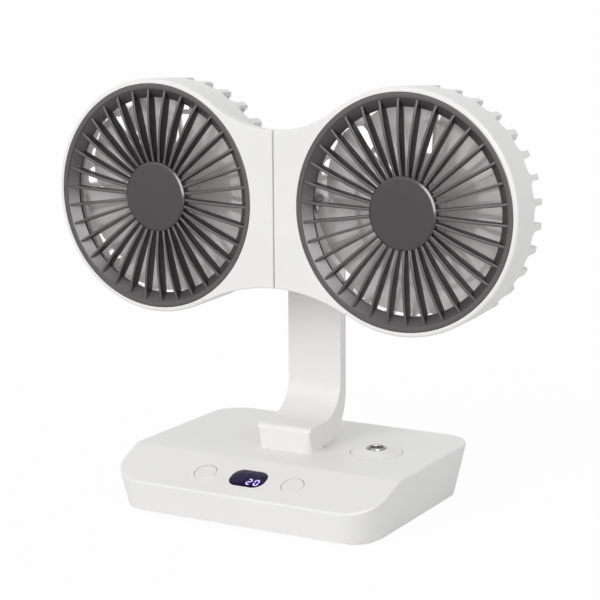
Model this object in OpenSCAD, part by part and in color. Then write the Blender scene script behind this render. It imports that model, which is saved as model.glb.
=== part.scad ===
// Dual-head desk fan: two round fan heads on a J-shaped arm over a low base
// with a control panel, a battery and a small mist tank.
// The floor is z = 0, the fans blow towards -Y and the heads meet at x = 0.

/* [Base] */
// Width of the base along its top edge
base_w = 162; // [150:1:180]
// Depth of the base
base_d = 126; // [118:1:140]
// Height of the base top above the table
base_h = 30; // [28:0.5:36]
// How far each wall leans in between the top and the table
base_draft = 5; // [2:0.5:7]
// Corner radius of the base along its top edge
base_corner_r = 18; // [14:1:24]
// Small edge break round the top of the base
base_edge = 1.2; // [0.6:0.2:2]
// Wall thickness of the base casing
base_wall = 2.2; // [1.6:0.1:3]
// Gap between the base casing and the table
base_lift = 1; // [0.6:0.1:2]
// Thickness of the bottom cover
bottom_t = 2.2; // [1.6:0.1:3]
// Radius of a rubber foot
foot_pad_r = 6; // [4:0.5:9]
// Distance of the rubber feet from the left and right edges of the base
foot_pad_side = 31; // [29:1:40]
// Distance of the rubber feet from the front and back edges of the base
foot_pad_end = 19; // [17:1:26]

/* [Control panel] */
// Height of the front lip, where the sloping panel starts
lip_h = 18; // [15:0.5:21]
// Depth of the sloping panel, measured level
panel_run = 30.5; // [27:0.5:36]
// Width of the display window
window_w = 21; // [18:0.5:26]
// Height of the display window along the slope
window_h = 13.8; // [12:0.2:15]
// Corner radius of the display window
window_r = 5.9; // [3:0.1:5.9]
// Thickness of the display window
window_t = 1.6; // [1:0.1:2]
// Radius of a button
button_r = 6; // [5:0.1:8]
// Distance of each button from the middle of the panel
button_x = 26.5; // [23:0.5:32]
// How far a button can be pressed
button_travel = 0.6; // [0.3:0.1:1]
// Gap round each button
button_gap = 0.3; // [0.2:0.05:0.5]

/* [Mist tank] */
// Distance of the mist cap's middle from the base's right edge
cap_side = 35.8; // [34:0.2:39]
// Place of the mist cap behind the middle
cap_y = 10.6; // [6:0.2:14]
// Radius of the mist cap
cap_r = 14; // [11:0.5:15]
// Height of the raised cone on the cap
cap_rise = 1.8; // [1:0.1:3]
// Radius of the bright nozzle ring
nozzle_r = 5.2; // [4.6:0.1:6]
// Width of the water tank
tank_w = 42; // [36:1:48]
// Depth of the water tank
tank_d = 46; // [40:1:50]
// Wall of the water tank
tank_wall = 1.6; // [1.2:0.1:2]
// Radius of the cotton wick
wick_r = 3.5; // [3:0.1:4]

/* [Arm] */
// Width of the arm
arm_w = 32.7; // [28:0.5:38]
// Thickness of the upright part of the arm
arm_t = 6.5; // [6:0.1:9]
// Distance of the arm's front face behind the middle of the base
arm_y = 23.3; // [20:0.5:26]
// Distance of the foot's front face in front of the middle of the base
foot_front = 11; // [9:0.5:15]
// Height of the arm's foot above the base
foot_h = 14; // [12:0.5:17]
// Inner bend radius of the arm
bend_in_r = 19; // [16:0.5:21]
// Outer bend radius of the arm
bend_out_r = 26; // [24:0.5:28]
// Thickness of the arm's back cover
cover_t = 1.8; // [1.2:0.1:2]
// Thickness of the flat cable in the arm
cable_t = 1.2; // [0.8:0.1:1.4]
// Width of the flat cable in the arm
cable_w = 9; // [6:0.5:10]

/* [Heads] */
// Height of the fan axes above the table
head_z = 164; // [155:1:180]
// Distance of the fan faces in front of the middle of the base
face_y = 20; // [16:0.5:24]
// Outer radius of the white bezel
bezel_r = 62.8; // [60:0.1:66]
// Width of the white bezel round the dark grille
bezel_w = 2.8; // [2.6:0.1:3.6]
// How much the casing's radius shrinks towards its back
back_taper = 1.1; // [0.6:0.1:1.6]
// Depth of the whole casing
head_d = 36; // [34:0.5:38]
// Edge break round the back of the casing
back_edge = 2; // [1:0.1:3]
// Depth of the front casing, up to the vented back
front_d = 21.5; // [21.5:0.5:24]
// Wall thickness of the casings
head_wall = 2; // [1.6:0.1:2.2]
// Height of the bridge's top edge above the fan axes, at the seam
bridge_up = 38.4; // [34:0.2:44]
// Height of the bridge's bottom edge below the fan axes, at the seam
bridge_down = 44; // [38:0.2:48]
// Thickness of the bridge between the heads
bridge_t = 5.7; // [5:0.1:6.5]
// Width of the seam between the two halves of the bridge
seam_gap = 0.5; // [0.4:0.05:0.8]
// Number of vent slots round the back
slot_n = 31; // [25:1:32]
// Width of a vent slot at the rim
slot_w = 9.4; // [6:0.1:9.6]
// Corner radius at the front end of a vent slot
slot_corner = 2.4; // [1:0.1:2.8]

/* [Front grille] */
// Number of spokes
spoke_n = 34; // [28:1:38]
// Thickness of a spoke
spoke_t = 1.4; // [1:0.1:1.8]
// Turn of the first spoke from level
spoke_phase = 8; // [0:0.5:10]
// How far the spokes bulge in front of the bezel
spoke_bulge = 1; // [0.5:0.1:2]
// Radius at which the spokes bulge most
spoke_crest_r = 39; // [34:0.5:42]
// Depth of the spokes' front edges where they go under the disc
spoke_root_d = 1.3; // [0.8:0.1:1.8]
// Distance of the spokes' outer ends from the grille's rim
spoke_tip_in = 3; // [2.8:0.1:4]
// Depth where the spokes end on the dished ring
spoke_tip_d = 0.7; // [0.5:0.1:1.2]
// Depth of the spokes' back edges
spoke_back = 5.4; // [5:0.1:6]
// Width of the flat rim round the grille
rim_w = 2.6; // [2:0.1:2.8]
// Width of the whole ring, with its dished part, in from the grille's rim
dish_w = 7.4; // [6.8:0.1:8]
// Depth of the dished ring
dish_d = 5.8; // [5.4:0.1:6.4]
// Radius of the disc in the middle of the grille
disc_r = 18.7; // [16:0.1:21]
// Depth of the disc's front face behind the bezel
disc_d = 0.4; // [0.2:0.1:1]

/* [Fan] */
// Number of fan blades
blade_n = 7; // [5:1:9]
// Gap between the blade tips and the screw columns round them
tip_gap = 1.2; // [1:0.1:3]
// Radius of the rotor hub
hub_r = 17.5; // [17:0.1:19]
// Depth of the hub's front face behind the bezel
hub_front = 9.6; // [9.6:0.1:10]
// Depth of the hub's back rim behind the bezel
hub_back = 25; // [24:0.1:26]
// Thickness of a blade
blade_t = 1.3; // [1:0.1:1.8]
// Width of a blade where it leaves the hub
blade_root_w = 20; // [16:0.5:24]
// Blade angle against the plane of the fan
blade_pitch = 19; // [17:1:28]
// Radius of the motor shaft
shaft_r = 1.5; // [1:0.1:2]

/* [Tilt pivot] */
// Width of the pivot block between the two casings
pivot_w = 21; // [19:0.5:26]
// Depth of the tilt axis behind the fan faces
tilt_d = 16; // [15.8:0.1:16]
// Radius of the round front of the pivot block
pivot_r = 9.4; // [8.6:0.1:9.6]
// Radius of the hollow tilt shafts
tilt_shaft_r = 3.5; // [3:0.1:4]
// Radius of the cable way through the tilt shafts
tilt_bore_r = 2.1; // [1.5:0.1:2.3]

/* [Hidden] */
left = -1;
right = 1;
eps = 0.01;
cut = 1;
fine = 96;
seat_gap = 0.3;
fit_gap = 0.1;
run_gap = 0.05;
white = [0.93, 0.93, 0.92];
dark = [0.34, 0.32, 0.33];
metal = [0.75, 0.75, 0.76];
board_green = [0.12, 0.32, 0.2];

// Base: the walls lean in by the draft, from the top edge down to the table.
ridge_y = -base_d / 2 + panel_run;
panel_angle = atan((base_h - lip_h) / panel_run);
panel_len = sqrt(pow(base_h - lip_h, 2) + pow(panel_run, 2));
edge_z = base_h - base_edge;
lean = base_draft / (edge_z - base_lift);
front_y = base_d / 2 + lean * (edge_z - lip_h);
roof_z = base_h - base_wall;
floor_z = base_lift + bottom_t;
screw_r = 1.25;
screw_head_r = 2.4;
screw_head_h = 1.4;
post_r = 3;
bottom_r = base_corner_r - base_draft - base_wall - 0.2;
post_in_side = 19;
post_in_front = 17;
post_in_back = 21;
base_post_x = base_w / 2 - post_in_side;
base_post_back = base_d / 2 - post_in_back;
base_post_front = post_in_front - base_d / 2;
post_hole_l = 8;
base_screw_l = 6;
foot_pad_x = base_w / 2 - foot_pad_side;
foot_pad_y = base_d / 2 - foot_pad_end;
pad_sink = 0.6;

// Control panel, in its own sloping frame: y runs up the slope, z stands out of it.
panel_mid = -panel_len / 2;
flange_t = 1.1;
flange_r = button_r + 1.2;
stem_r = 2;
stem_end = -base_wall - seat_gap - flange_t - 2.4;
switch_top = stem_end - button_travel - fit_gap;
switch_w = 6;
switch_h = 2.4;
plunger_r = 1.6;
plunger_h = 0.5;
board_t = 1.4;
board_top = switch_top - plunger_h - switch_h;
board_post_r = 2.4;
board_post_x = button_x + flange_r + board_post_r + 0.5;
board_rim = 3;
board_l = 2 * (board_post_x + board_rim);
board_w = 20;
module_w = window_w + 4;
module_h = window_h + 3;

// Battery and charging board on the bottom cover
cell_r = 9.1;
cell_l = 65;
cell_gap = 1;
tray_t = 1.2;
cell_in_back = 10;
cell_back = base_d / 2 - cell_in_back;
cell_left = post_r + tray_t + seat_gap - base_post_x;
tray_h = 6;
cell_z = floor_z + tray_t + cell_r;
charge_w = 26;
charge_d = 18;
charge_post_h = 5;
charge_z = floor_z + charge_post_h;
usb_side = 36;
usb_x = base_w / 2 - usb_side;
usb_w = 9;
usb_h = 3.3;
usb_l = 7.4;
usb_y = base_d / 2 - lean * (edge_z - charge_z - board_t - usb_h / 2) - fit_gap;
charge_back = usb_y - base_wall - 1;

// Mist tank and cap
cap_x = base_w / 2 - cap_side;
neck_wall = 1.8;
neck_r = cap_r - 1.7;
plug_gap = 0.4;
plug_r = neck_r - plug_gap;
plug_l = 5;
plug_wall = 1.8;
seal_r = 0.8;
nozzle_bore_r = nozzle_r - 1.6;
nozzle_h = 2;
disc_seat_r = nozzle_r + 0.6;
cap_low = roof_z + seat_gap;
cap_flat = base_h + 0.2;
tank_h = roof_z - floor_z - 3;
tank_x = cap_x - tank_w / 2 + 2;
tank_y = cap_y - tank_d / 2;
tank_r = 4;

// Arm
arm_back = arm_y + arm_t;
arm_top = head_z + pivot_r;
bend_in_y = arm_y - bend_in_r;
bend_in_z = base_h + foot_h + bend_in_r;
bend_out_y = arm_back - bend_out_r;
bend_out_z = base_h + bend_out_r;
foot_corner = 5;
foot_nose = 3;
bend_steps = 24;
way_w = cable_w + 2;
way_t = cable_t + 0.6;
slot_y = -2;
slot_l = 6;
gate_h = 6;
foot_screw_x = 10;
foot_screw_l = foot_h - 4;

// Tilt pivot: the block fills the space between the two casings.
face = -face_y;
tilt_y = face + tilt_d;
pivot_half = pivot_w / 2;
casing_gap = 0.7;
head_x = pivot_half + casing_gap + bezel_r;
neck_rise = 13;
neck_low = head_z - bridge_down + 4;
neck_high = neck_low + neck_rise;
pivot_hole_l = 9;
pivot_screw_l = 7;
collar_in = 1.6;
collar_t = 1.2;
collar_r = tilt_shaft_r + 1.4;
washer_t = 1.2;
washer_in = collar_in + collar_t + 0.2;
washer_r = tilt_shaft_r + 2.4;
bush_in = washer_in + washer_t + 0.2;
bush_r = tilt_shaft_r + 1.5;
boss_r = tilt_shaft_r + 2.3;
boss_l = 6.8;
boss_in_r = bezel_r - boss_l;
flange_in = boss_in_r - 1.4;

// Casings: depth runs from the bezel face to the back.
grille_r = bezel_r - bezel_w;
back_r = bezel_r - back_taper;
dish_r = grille_r - dish_w;
spoke_tip_r = grille_r - spoke_tip_in;
bore_r = grille_r + 0.2;
inner_r = bore_r + 0.3;
ledge_r = grille_r - 1.8;
ledge_d = 6;
ledge_t = 1.4;
rim_break = 0.8;
split_r = bezel_r - (bezel_r - back_r) * front_d / head_d;
spigot_r = inner_r - fit_gap;
spigot_d = 5;
cage_inner_r = back_r - head_wall;
slot_front = front_d + 0.6;
slot_inner_r = 27;
slot_inner_w = 3.4;
slot_straight_r = cage_inner_r - 3;
mid_ring_r = 43;
mid_ring_w = 2.4;
hub_disc_r = 25;
tower_r = 4.2;
column_r = 2.9;
column_at = inner_r - column_r + 0.6;
blade_r = column_at - column_r - tip_gap;
column_front = front_d - spigot_d - 2;
column_seat = max(dish_d, ledge_d) + seat_gap;
screw_tip = 5;
rear_cap_r = 19;
rear_cap_t = 1.2;
rear_cap_sink = 0.5;
back_in = head_d - head_wall;

// Motor
tower_set_in = 5.5;
tower_front = hub_front + tower_set_in;
bearing_r = tower_r - 1.1;
bearing_l = 4;
stator_r = hub_r - 4.4;
stator_front = tower_front + 1;
stator_l = 6.5;
coil_n = 9;
coil_w = 3.8;
shoe_w = 6.4;
shoe_t = 1.4;
shaft_end_in = 3.4;
bearing_end_in = 2.6;
magnet_t = 1.2;
hub_wall = 1.6;
motor_board_r = 13;
motor_board_d = back_in - 3;

// Half height of a circle's chord and the fillet that blends the bridge into a bezel.
function blend_r(h) = (head_x * head_x + h * h - bezel_r * bezel_r) / (2 * (bezel_r - h));
function blend_touch(h, r) = head_x - bezel_r * head_x / (bezel_r + r);
function blend_rise(h, r) = bezel_r * (h + r) / (bezel_r + r);

// One rounded, drafted block: four corner cones with a broken top edge.
module base_block(inset, low, top) {
    hull() for (x = [-1, 1], y = [-front_y + base_corner_r, base_d / 2 - base_corner_r])
        translate([x * (base_w / 2 - base_corner_r), y, low]) {
            cylinder(h = top - base_edge - low, r1 = base_corner_r - base_draft - inset,
                r2 = base_corner_r - inset, $fn = 48);
            translate([0, 0, top - base_edge - low - eps]) cylinder(h = base_edge + eps,
                r1 = base_corner_r - inset, r2 = base_corner_r - base_edge - inset, $fn = 48);
        }
}

module on_panel(x) {
    translate([0, ridge_y, base_h]) rotate([panel_angle, 0, 0]) translate([x, panel_mid, 0]) children();
}

module below_panel(drop) {
    difference() {
        children();
        translate([0, ridge_y, base_h]) rotate([panel_angle, 0, 0])
            translate([-base_w, -base_d, -drop]) cube([2 * base_w, base_d, base_h]);
    }
}

module base_outer() {
    below_panel(0) base_block(0, base_lift, base_h);
}

module base_inner() {
    below_panel(base_wall) base_block(base_wall, base_lift - eps, roof_z);
}

module round_rect(w, h, r) {
    union() {
        square([w - 2 * r, h], center = true);
        square([w, h - 2 * r], center = true);
        for (x = [-1, 1], y = [-1, 1]) translate([x * (w / 2 - r), y * (h / 2 - r)]) circle(r, $fn = 48);
    }
}

module base_posts(r, z, h) {
    for (x = [-1, 1], y = [base_post_front, base_post_back])
        translate([x * base_post_x, y, z]) cylinder(h = h, r = r, $fn = 32);
}

module foot_screw_places(z) {
    for (x = [-1, 1], y = [foot_corner - foot_front, bend_out_y - screw_head_r - seat_gap])
        translate([x * foot_screw_x, y, z]) children();
}

module base_shell() {
    color(white) difference() {
        union() {
            difference() {
                base_outer();
                base_inner();
            }
            intersection() {
                union() {
                    base_posts(post_r, floor_z, base_h);
                    for (x = [-1, 1]) on_panel(x * board_post_x)
                        translate([0, 0, board_top]) cylinder(h = -board_top - 1, r = board_post_r, $fn = 32);
                }
                base_outer();
            }
        }
        base_posts(screw_r - 0.1, base_lift, floor_z + post_hole_l - base_lift);
        translate([cap_x, cap_y, roof_z - cut])
            cylinder(h = base_wall + 2 * cut, r = cap_r + seat_gap, $fn = fine);
        on_panel(0) translate([0, 0, -base_wall - cut]) linear_extrude(base_wall + 2 * cut)
            round_rect(window_w + 2 * fit_gap, window_h + 2 * fit_gap, window_r + fit_gap);
        for (x = [-1, 1]) on_panel(x * button_x) translate([0, 0, -base_wall - cut])
            cylinder(h = base_wall + 2 * cut, r = button_r + button_gap, $fn = fine);
        translate([-way_w / 2, slot_y, roof_z - cut]) cube([way_w, slot_l, base_wall + 2 * cut]);
        foot_screw_places(roof_z - cut) cylinder(h = base_wall + 2 * cut, r = screw_r + 0.2, $fn = 32);
        translate([usb_x, usb_y, charge_z + board_t + usb_h / 2]) rotate([90, 0, 0])
            linear_extrude(2 * usb_l, center = true) round_rect(usb_w + 0.4, usb_h + 0.4, 1.6);
    }
}

module base_bottom() {
    color(white) difference() {
        hull() for (x = [-1, 1], y = [-front_y + base_corner_r, base_d / 2 - base_corner_r])
            translate([x * (base_w / 2 - base_corner_r), y, base_lift])
                cylinder(h = bottom_t, r1 = bottom_r, r2 = bottom_r + lean * bottom_t, $fn = 48);
        base_posts(screw_r + 0.2, 0, base_h);
        base_posts(screw_head_r + 0.2, 0, base_lift + screw_head_h);
        feet(foot_pad_r + fit_gap, base_lift + pad_sink);
    }
}

module feet(r, top) {
    for (x = [-1, 1], y = [-1, 1])
        translate([x * foot_pad_x, y * foot_pad_y, 0]) cylinder(h = top, r = r, $fn = 48);
}

module rubber_feet() {
    color([0.2, 0.2, 0.2]) feet(foot_pad_r, base_lift + pad_sink);
}

module base_screws() {
    color(metal) for (x = [-1, 1], y = [base_post_front, base_post_back])
        translate([x * base_post_x, y, base_lift]) {
            cylinder(h = screw_head_h, r = screw_head_r, $fn = 32);
            cylinder(h = floor_z + base_screw_l - base_lift, r = screw_r - 0.15, $fn = 32);
        }
}

module display_window() {
    color([0.08, 0.07, 0.16]) on_panel(0) translate([0, 0, -window_t - fit_gap])
        linear_extrude(window_t) round_rect(window_w, window_h, window_r);
}

module display_module() {
    color([0.1, 0.1, 0.12]) on_panel(0) translate([-module_w / 2, -module_h / 2, board_top])
        cube([module_w, module_h, -board_top - base_wall - fit_gap]);
}

module control_board() {
    color(board_green) on_panel(0) translate([-board_l / 2, -board_w / 2, board_top - board_t])
        cube([board_l, board_w, board_t]);
}

module button_switches() {
    color(metal) for (x = [-1, 1]) on_panel(x * button_x) {
        translate([-switch_w / 2, -switch_w / 2, board_top]) cube([switch_w, switch_w, switch_h]);
        translate([0, 0, board_top]) cylinder(h = switch_h + plunger_h, r = plunger_r, $fn = 32);
    }
}

module panel_button(side) {
    color(white) on_panel(side * button_x) {
        translate([0, 0, -base_wall - seat_gap]) cylinder(h = base_wall + seat_gap, r = button_r, $fn = fine);
        translate([0, 0, -base_wall - seat_gap - flange_t]) cylinder(h = flange_t, r = flange_r, $fn = fine);
        translate([0, 0, stem_end]) cylinder(h = -stem_end - base_wall - seat_gap, r = stem_r, $fn = 32);
    }
}

module cells(r) {
    for (i = [0, 1]) translate([cell_left, cell_back - cell_r - i * (2 * cell_r + cell_gap), cell_z])
        rotate([0, 90, 0]) cylinder(h = cell_l, r = r, $fn = 64);
}

module battery_cells() {
    color([0.25, 0.42, 0.62]) cells(cell_r);
}

module battery_tray() {
    tray_d = 4 * cell_r + cell_gap;
    color([0.85, 0.85, 0.85]) difference() {
        translate([cell_left - tray_t, cell_back - tray_d, floor_z])
            cube([cell_l + 2 * tray_t, tray_d, tray_h]);
        cells(cell_r + fit_gap);
    }
}

module charge_board() {
    color(board_green) {
        translate([usb_x - charge_w / 2, charge_back - charge_d, charge_z])
            cube([charge_w, charge_d, board_t]);
        for (x = [-1, 1]) translate([usb_x + x * (charge_w / 2 - 3), charge_back - charge_d + 3, floor_z])
            cylinder(h = charge_z - floor_z, r = 2, $fn = 32);
    }
}

module usb_port() {
    color(metal) translate([usb_x, usb_y, charge_z + board_t + usb_h / 2]) rotate([90, 0, 0]) difference() {
        linear_extrude(usb_l) round_rect(usb_w, usb_h, 1.5);
        translate([0, 0, -cut]) linear_extrude(usb_l - 1 + cut) difference() {
            round_rect(usb_w - 0.7, usb_h - 0.7, 1.2);
            square([usb_w - 2.6, 0.7], center = true);
        }
    }
}

module tank_box(inset, low, high) {
    translate([tank_x + tank_w / 2, tank_y + tank_d / 2, low]) linear_extrude(high - low)
        round_rect(tank_w - 2 * inset, tank_d - 2 * inset, tank_r - inset);
}

module water_tank() {
    tank_top = floor_z + tank_h;
    color([0.8, 0.86, 0.9]) difference() {
        union() {
            tank_box(0, floor_z, tank_top);
            translate([cap_x, cap_y, tank_top - 1])
                cylinder(h = roof_z - tank_top + 1, r = neck_r + neck_wall, $fn = fine);
        }
        tank_box(tank_wall, floor_z + tank_wall, tank_top - tank_wall);
        translate([cap_x, cap_y, tank_top - 2 * tank_wall]) cylinder(h = base_h, r = neck_r, $fn = fine);
    }
}

module mist_wick() {
    color([0.95, 0.95, 0.93]) translate([cap_x, cap_y, floor_z + tank_wall])
        cylinder(h = cap_flat - 1 - seat_gap - floor_z - tank_wall, r = wick_r, $fn = 48);
}

module mist_cap() {
    color(white) translate([cap_x, cap_y, 0]) difference() {
        union() {
            translate([0, 0, cap_low]) cylinder(h = cap_flat - cap_low, r = cap_r, $fn = fine);
            translate([0, 0, cap_flat - eps])
                cylinder(h = cap_rise, r1 = cap_r - 2, r2 = nozzle_r + 1.4, $fn = fine);
            translate([0, 0, cap_low - plug_l]) cylinder(h = plug_l + eps, r = plug_r, $fn = fine);
            for (a = [200, 290, 60]) rotate([0, 0, a]) translate([cap_r - 1.6, -0.4, cap_flat - eps])
                cube([1.1, 0.8, 0.3]);
        }
        translate([0, 0, cap_low - plug_l - cut])
            cylinder(h = plug_l + cut, r = plug_r - plug_wall, $fn = fine);
        translate([0, 0, cap_low - cut])
            cylinder(h = cap_flat - 0.4 - cap_low + cut, r = disc_seat_r, $fn = fine);
        translate([0, 0, cap_low]) cylinder(h = base_h, r = nozzle_bore_r, $fn = fine);
        translate([0, 0, cap_flat + cap_rise - nozzle_h / 2])
            cylinder(h = base_h, r = nozzle_r + run_gap, $fn = fine);
        translate([0, 0, cap_low - plug_l / 2]) rotate_extrude($fn = fine)
            translate([plug_r + 0.2, 0]) circle(seal_r + run_gap, $fn = 24);
    }
}

module cap_seal() {
    color([0.15, 0.15, 0.15]) translate([cap_x, cap_y, cap_low - plug_l / 2]) difference() {
        rotate_extrude($fn = fine) translate([plug_r + 0.2, 0]) circle(seal_r, $fn = 24);
        difference() {
            translate([0, 0, -plug_l]) cylinder(h = 2 * plug_l, r = cap_r, $fn = fine);
            translate([0, 0, -plug_l]) cylinder(h = 2 * plug_l, r = neck_r - run_gap, $fn = fine);
        }
    }
}

module mist_disc() {
    color(metal) translate([cap_x, cap_y, cap_flat - 1]) cylinder(h = 0.6, r = disc_seat_r - 0.2, $fn = 64);
}

module mist_nozzle() {
    color(metal) translate([cap_x, cap_y, cap_flat + cap_rise - nozzle_h / 2]) rotate_extrude($fn = fine)
        polygon([[nozzle_bore_r, 0], [nozzle_r, 0], [nozzle_r, nozzle_h - 0.5], [nozzle_r - 0.5, nozzle_h],
            [nozzle_bore_r + 0.3, nozzle_h]]);
}

// Points along an arc, turning from one angle to another.
function arc(y, z, r, from, to) = [for (i = [0:bend_steps]) let (a = from + (to - from) * i / bend_steps)
    [y + r * cos(a), z + r * sin(a)]];

// Side view of the arm: a flat post that bends forward into a thicker foot.
module arm_side() {
    polygon(concat([[-foot_front, base_h]], arc(bend_out_y, bend_out_z, bend_out_r, -90, 0),
        [[arm_back, arm_top], [arm_y, arm_top]], arc(bend_in_y, bend_in_z, bend_in_r, 0, -90),
        arc(foot_nose - foot_front, base_h + foot_h - foot_nose, foot_nose, 90, 180)));
}

// Band of the arm between two distances in front of its back face.
module arm_band(near, far, top) {
    polygon(concat(arc(bend_out_y, bend_out_z, bend_out_r - near, -90, 0),
        [[arm_back - near, top], [arm_back - far, top]],
        arc(bend_out_y, bend_out_z, bend_out_r - far, 0, -90)));
}

module along_x(w) {
    translate([-w / 2, 0, 0]) rotate([90, 0, 90]) linear_extrude(w) children();
}

// Front and top views trim the arm: a narrow neck between the casings, round foot corners.
module arm_trim() {
    intersection() {
        translate([0, base_d, 0]) rotate([90, 0, 0]) linear_extrude(2 * base_d) union() {
            translate([-arm_w / 2, 0]) square([arm_w, neck_low]);
            polygon([[-arm_w / 2, neck_low - eps], [arm_w / 2, neck_low - eps], [pivot_half, neck_high],
                [-pivot_half, neck_high]]);
            translate([-pivot_half, neck_high - eps]) square([2 * pivot_half, arm_top - neck_high + cut]);
        }
        linear_extrude(arm_top + cut) union() {
            translate([-arm_w / 2, -foot_front + foot_corner]) square([arm_w, base_d]);
            translate([-arm_w / 2 + foot_corner, -foot_front]) square([arm_w - 2 * foot_corner, base_d]);
            for (x = [-1, 1]) translate([x * (arm_w / 2 - foot_corner), -foot_front + foot_corner])
                circle(foot_corner, $fn = 48);
        }
    }
}

module pivot_screw_places() {
    for (x = [-1, 1], z = [-1, 1])
        translate([x * (way_w / 2 + screw_r + 0.7), 0, head_z + z * (pivot_r - 2.4)])
            rotate([90, 0, 0]) children();
}

module arm_shell() {
    cable_way = cover_t + fit_gap + way_t;
    color(white) difference() {
        intersection() {
            along_x(arm_w) arm_side();
            arm_trim();
        }
        along_x(arm_w + 2 * cut) arm_band(-cut, cover_t + fit_gap, arm_top + cut);
        along_x(way_w) arm_band(cover_t - cut, cable_way, arm_top + cut);
        translate([-way_w / 2, slot_y, base_h - cut]) cube([way_w, bend_out_y - slot_y + 2, cable_way + cut]);
        foot_screw_places(base_h - cut) cylinder(h = foot_screw_l + 2 * cut, r = screw_r, $fn = 32);
        translate([-way_w / 2 + 1, arm_y - cut, head_z - gate_h / 2]) cube([way_w - 2, arm_t, gate_h]);
        translate([0, arm_back, 0]) pivot_screw_places()
            cylinder(h = arm_t + cut, r = screw_r + 0.2, $fn = 32);
    }
}

module arm_back_cover() {
    color(white) intersection() {
        along_x(arm_w) difference() {
            arm_band(0, cover_t, arm_top);
            translate([bend_out_y - cut, base_h - cut]) square([cut + seat_gap, arm_t]);
        }
        arm_trim();
    }
}

module arm_screws() {
    color(metal) foot_screw_places(roof_z - screw_head_h) {
        cylinder(h = screw_head_h, r = screw_head_r, $fn = 32);
        cylinder(h = screw_head_h + base_wall + foot_screw_l, r = screw_r - fit_gap, $fn = 32);
    }
}

// Flat cable: down the back of the arm, forward under its foot and down into the base.
module arm_cable() {
    near = cover_t + fit_gap + (way_t - cable_t) / 2;
    far = near + cable_t;
    color([0.75, 0.3, 0.25]) along_x(cable_w)
        polygon(concat([[slot_y + 1, roof_z - 4], [slot_y + 1 + cable_t, roof_z - 4],
            [slot_y + 1 + cable_t, base_h + near]], arc(bend_out_y, bend_out_z, bend_out_r - near, -90, 0),
            [[arm_back - near, head_z + 2], [arm_back - far, head_z + 2]],
            arc(bend_out_y, bend_out_z, bend_out_r - far, 0, -90), [[slot_y + 1, base_h + far]]));
}

module pivot_block() {
    reach = arm_y - tilt_y;
    color(white) translate([0, tilt_y, head_z]) difference() {
        union() {
            rotate([0, 90, 0]) cylinder(h = 2 * pivot_half, r = pivot_r, center = true, $fn = fine);
            translate([-pivot_half, 0, -pivot_r]) cube([2 * pivot_half, reach, 2 * pivot_r]);
        }
        rotate([0, 90, 0]) cylinder(h = 2 * pivot_half + 2 * cut, r = bush_r, center = true, $fn = fine);
        rotate([0, 90, 0]) cylinder(h = 2 * (bush_in - 0.2), r = washer_r + 0.3, center = true, $fn = fine);
        translate([-way_w / 2 + 1, 0, -gate_h / 2]) cube([way_w - 2, reach + cut, gate_h]);
        translate([0, reach + eps, -head_z]) pivot_screw_places()
            cylinder(h = pivot_hole_l, r = screw_r, $fn = 32);
    }
}

module pivot_screws() {
    color(metal) translate([0, arm_back - cover_t - fit_gap, 0]) pivot_screw_places() {
        cylinder(h = arm_t - cover_t - fit_gap + pivot_screw_l, r = screw_r - fit_gap, $fn = 32);
    }
}

module on_tilt_axis(side, x) {
    translate([side * x, tilt_y, head_z]) rotate([0, side * 90, 0]) children();
}

module tube(h, outer, inner) {
    difference() {
        cylinder(h = h, r = outer, $fn = fine);
        translate([0, 0, -cut]) cylinder(h = h + 2 * cut, r = inner, $fn = fine);
    }
}

module tilt_bushes() {
    color([0.72, 0.58, 0.3]) for (side = [left, right])
        on_tilt_axis(side, bush_in) tube(pivot_half - bush_in, bush_r - run_gap, tilt_shaft_r + run_gap);
}

module friction_washers() {
    color(metal) for (side = [left, right])
        on_tilt_axis(side, washer_in) tube(washer_t, washer_r, tilt_shaft_r + run_gap);
}

module tilt_shaft(side) {
    color(metal) on_tilt_axis(side, collar_in) difference() {
        union() {
            cylinder(h = collar_t, r = collar_r, $fn = fine);
            cylinder(h = head_x - boss_in_r - collar_in, r = tilt_shaft_r, $fn = fine);
            translate([0, 0, head_x - boss_in_r - collar_in])
                cylinder(h = boss_in_r - flange_in, r = collar_r, $fn = fine);
        }
        translate([0, 0, -cut]) cylinder(h = head_x, r = tilt_bore_r, $fn = fine);
    }
}

// A head's own frame: its origin is on the bezel face, z runs back and y runs down.
module at_head(side) {
    translate([side * head_x, face, head_z]) rotate([-90, 0, 0]) children();
}

// Turns the casing round for the left head, so that its bridge and boss face the middle.
module handed(side) {
    mirror([side < 0 ? 1 : 0, 0, 0]) children();
}

// Half of the bridge, seen from the front, drawn from the seam towards +x.
module bridge_half(inset) {
    up_r = blend_r(bridge_up);
    down_r = blend_r(bridge_down);
    translate([-head_x, 0]) for (part = [[-1, bridge_up, up_r], [1, bridge_down, down_r]]) difference() {
        translate([seam_gap / 2 + inset, part[0] > 0 ? -eps : -blend_rise(part[1], part[2])])
            square([blend_touch(part[1], part[2]) - seam_gap / 2 - inset, blend_rise(part[1], part[2]) + eps]);
        translate([0, part[0] * (part[1] + part[2])]) circle(part[2] + inset, $fn = 180);
    }
}

// Screw columns stand behind the ribs nearest to the four diagonals.
module column_places() {
    for (a = [45:90:315]) rotate([0, 0, (floor(a * slot_n / 360) + 0.5) * 360 / slot_n])
        translate([column_at, 0, 0]) children();
}

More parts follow.
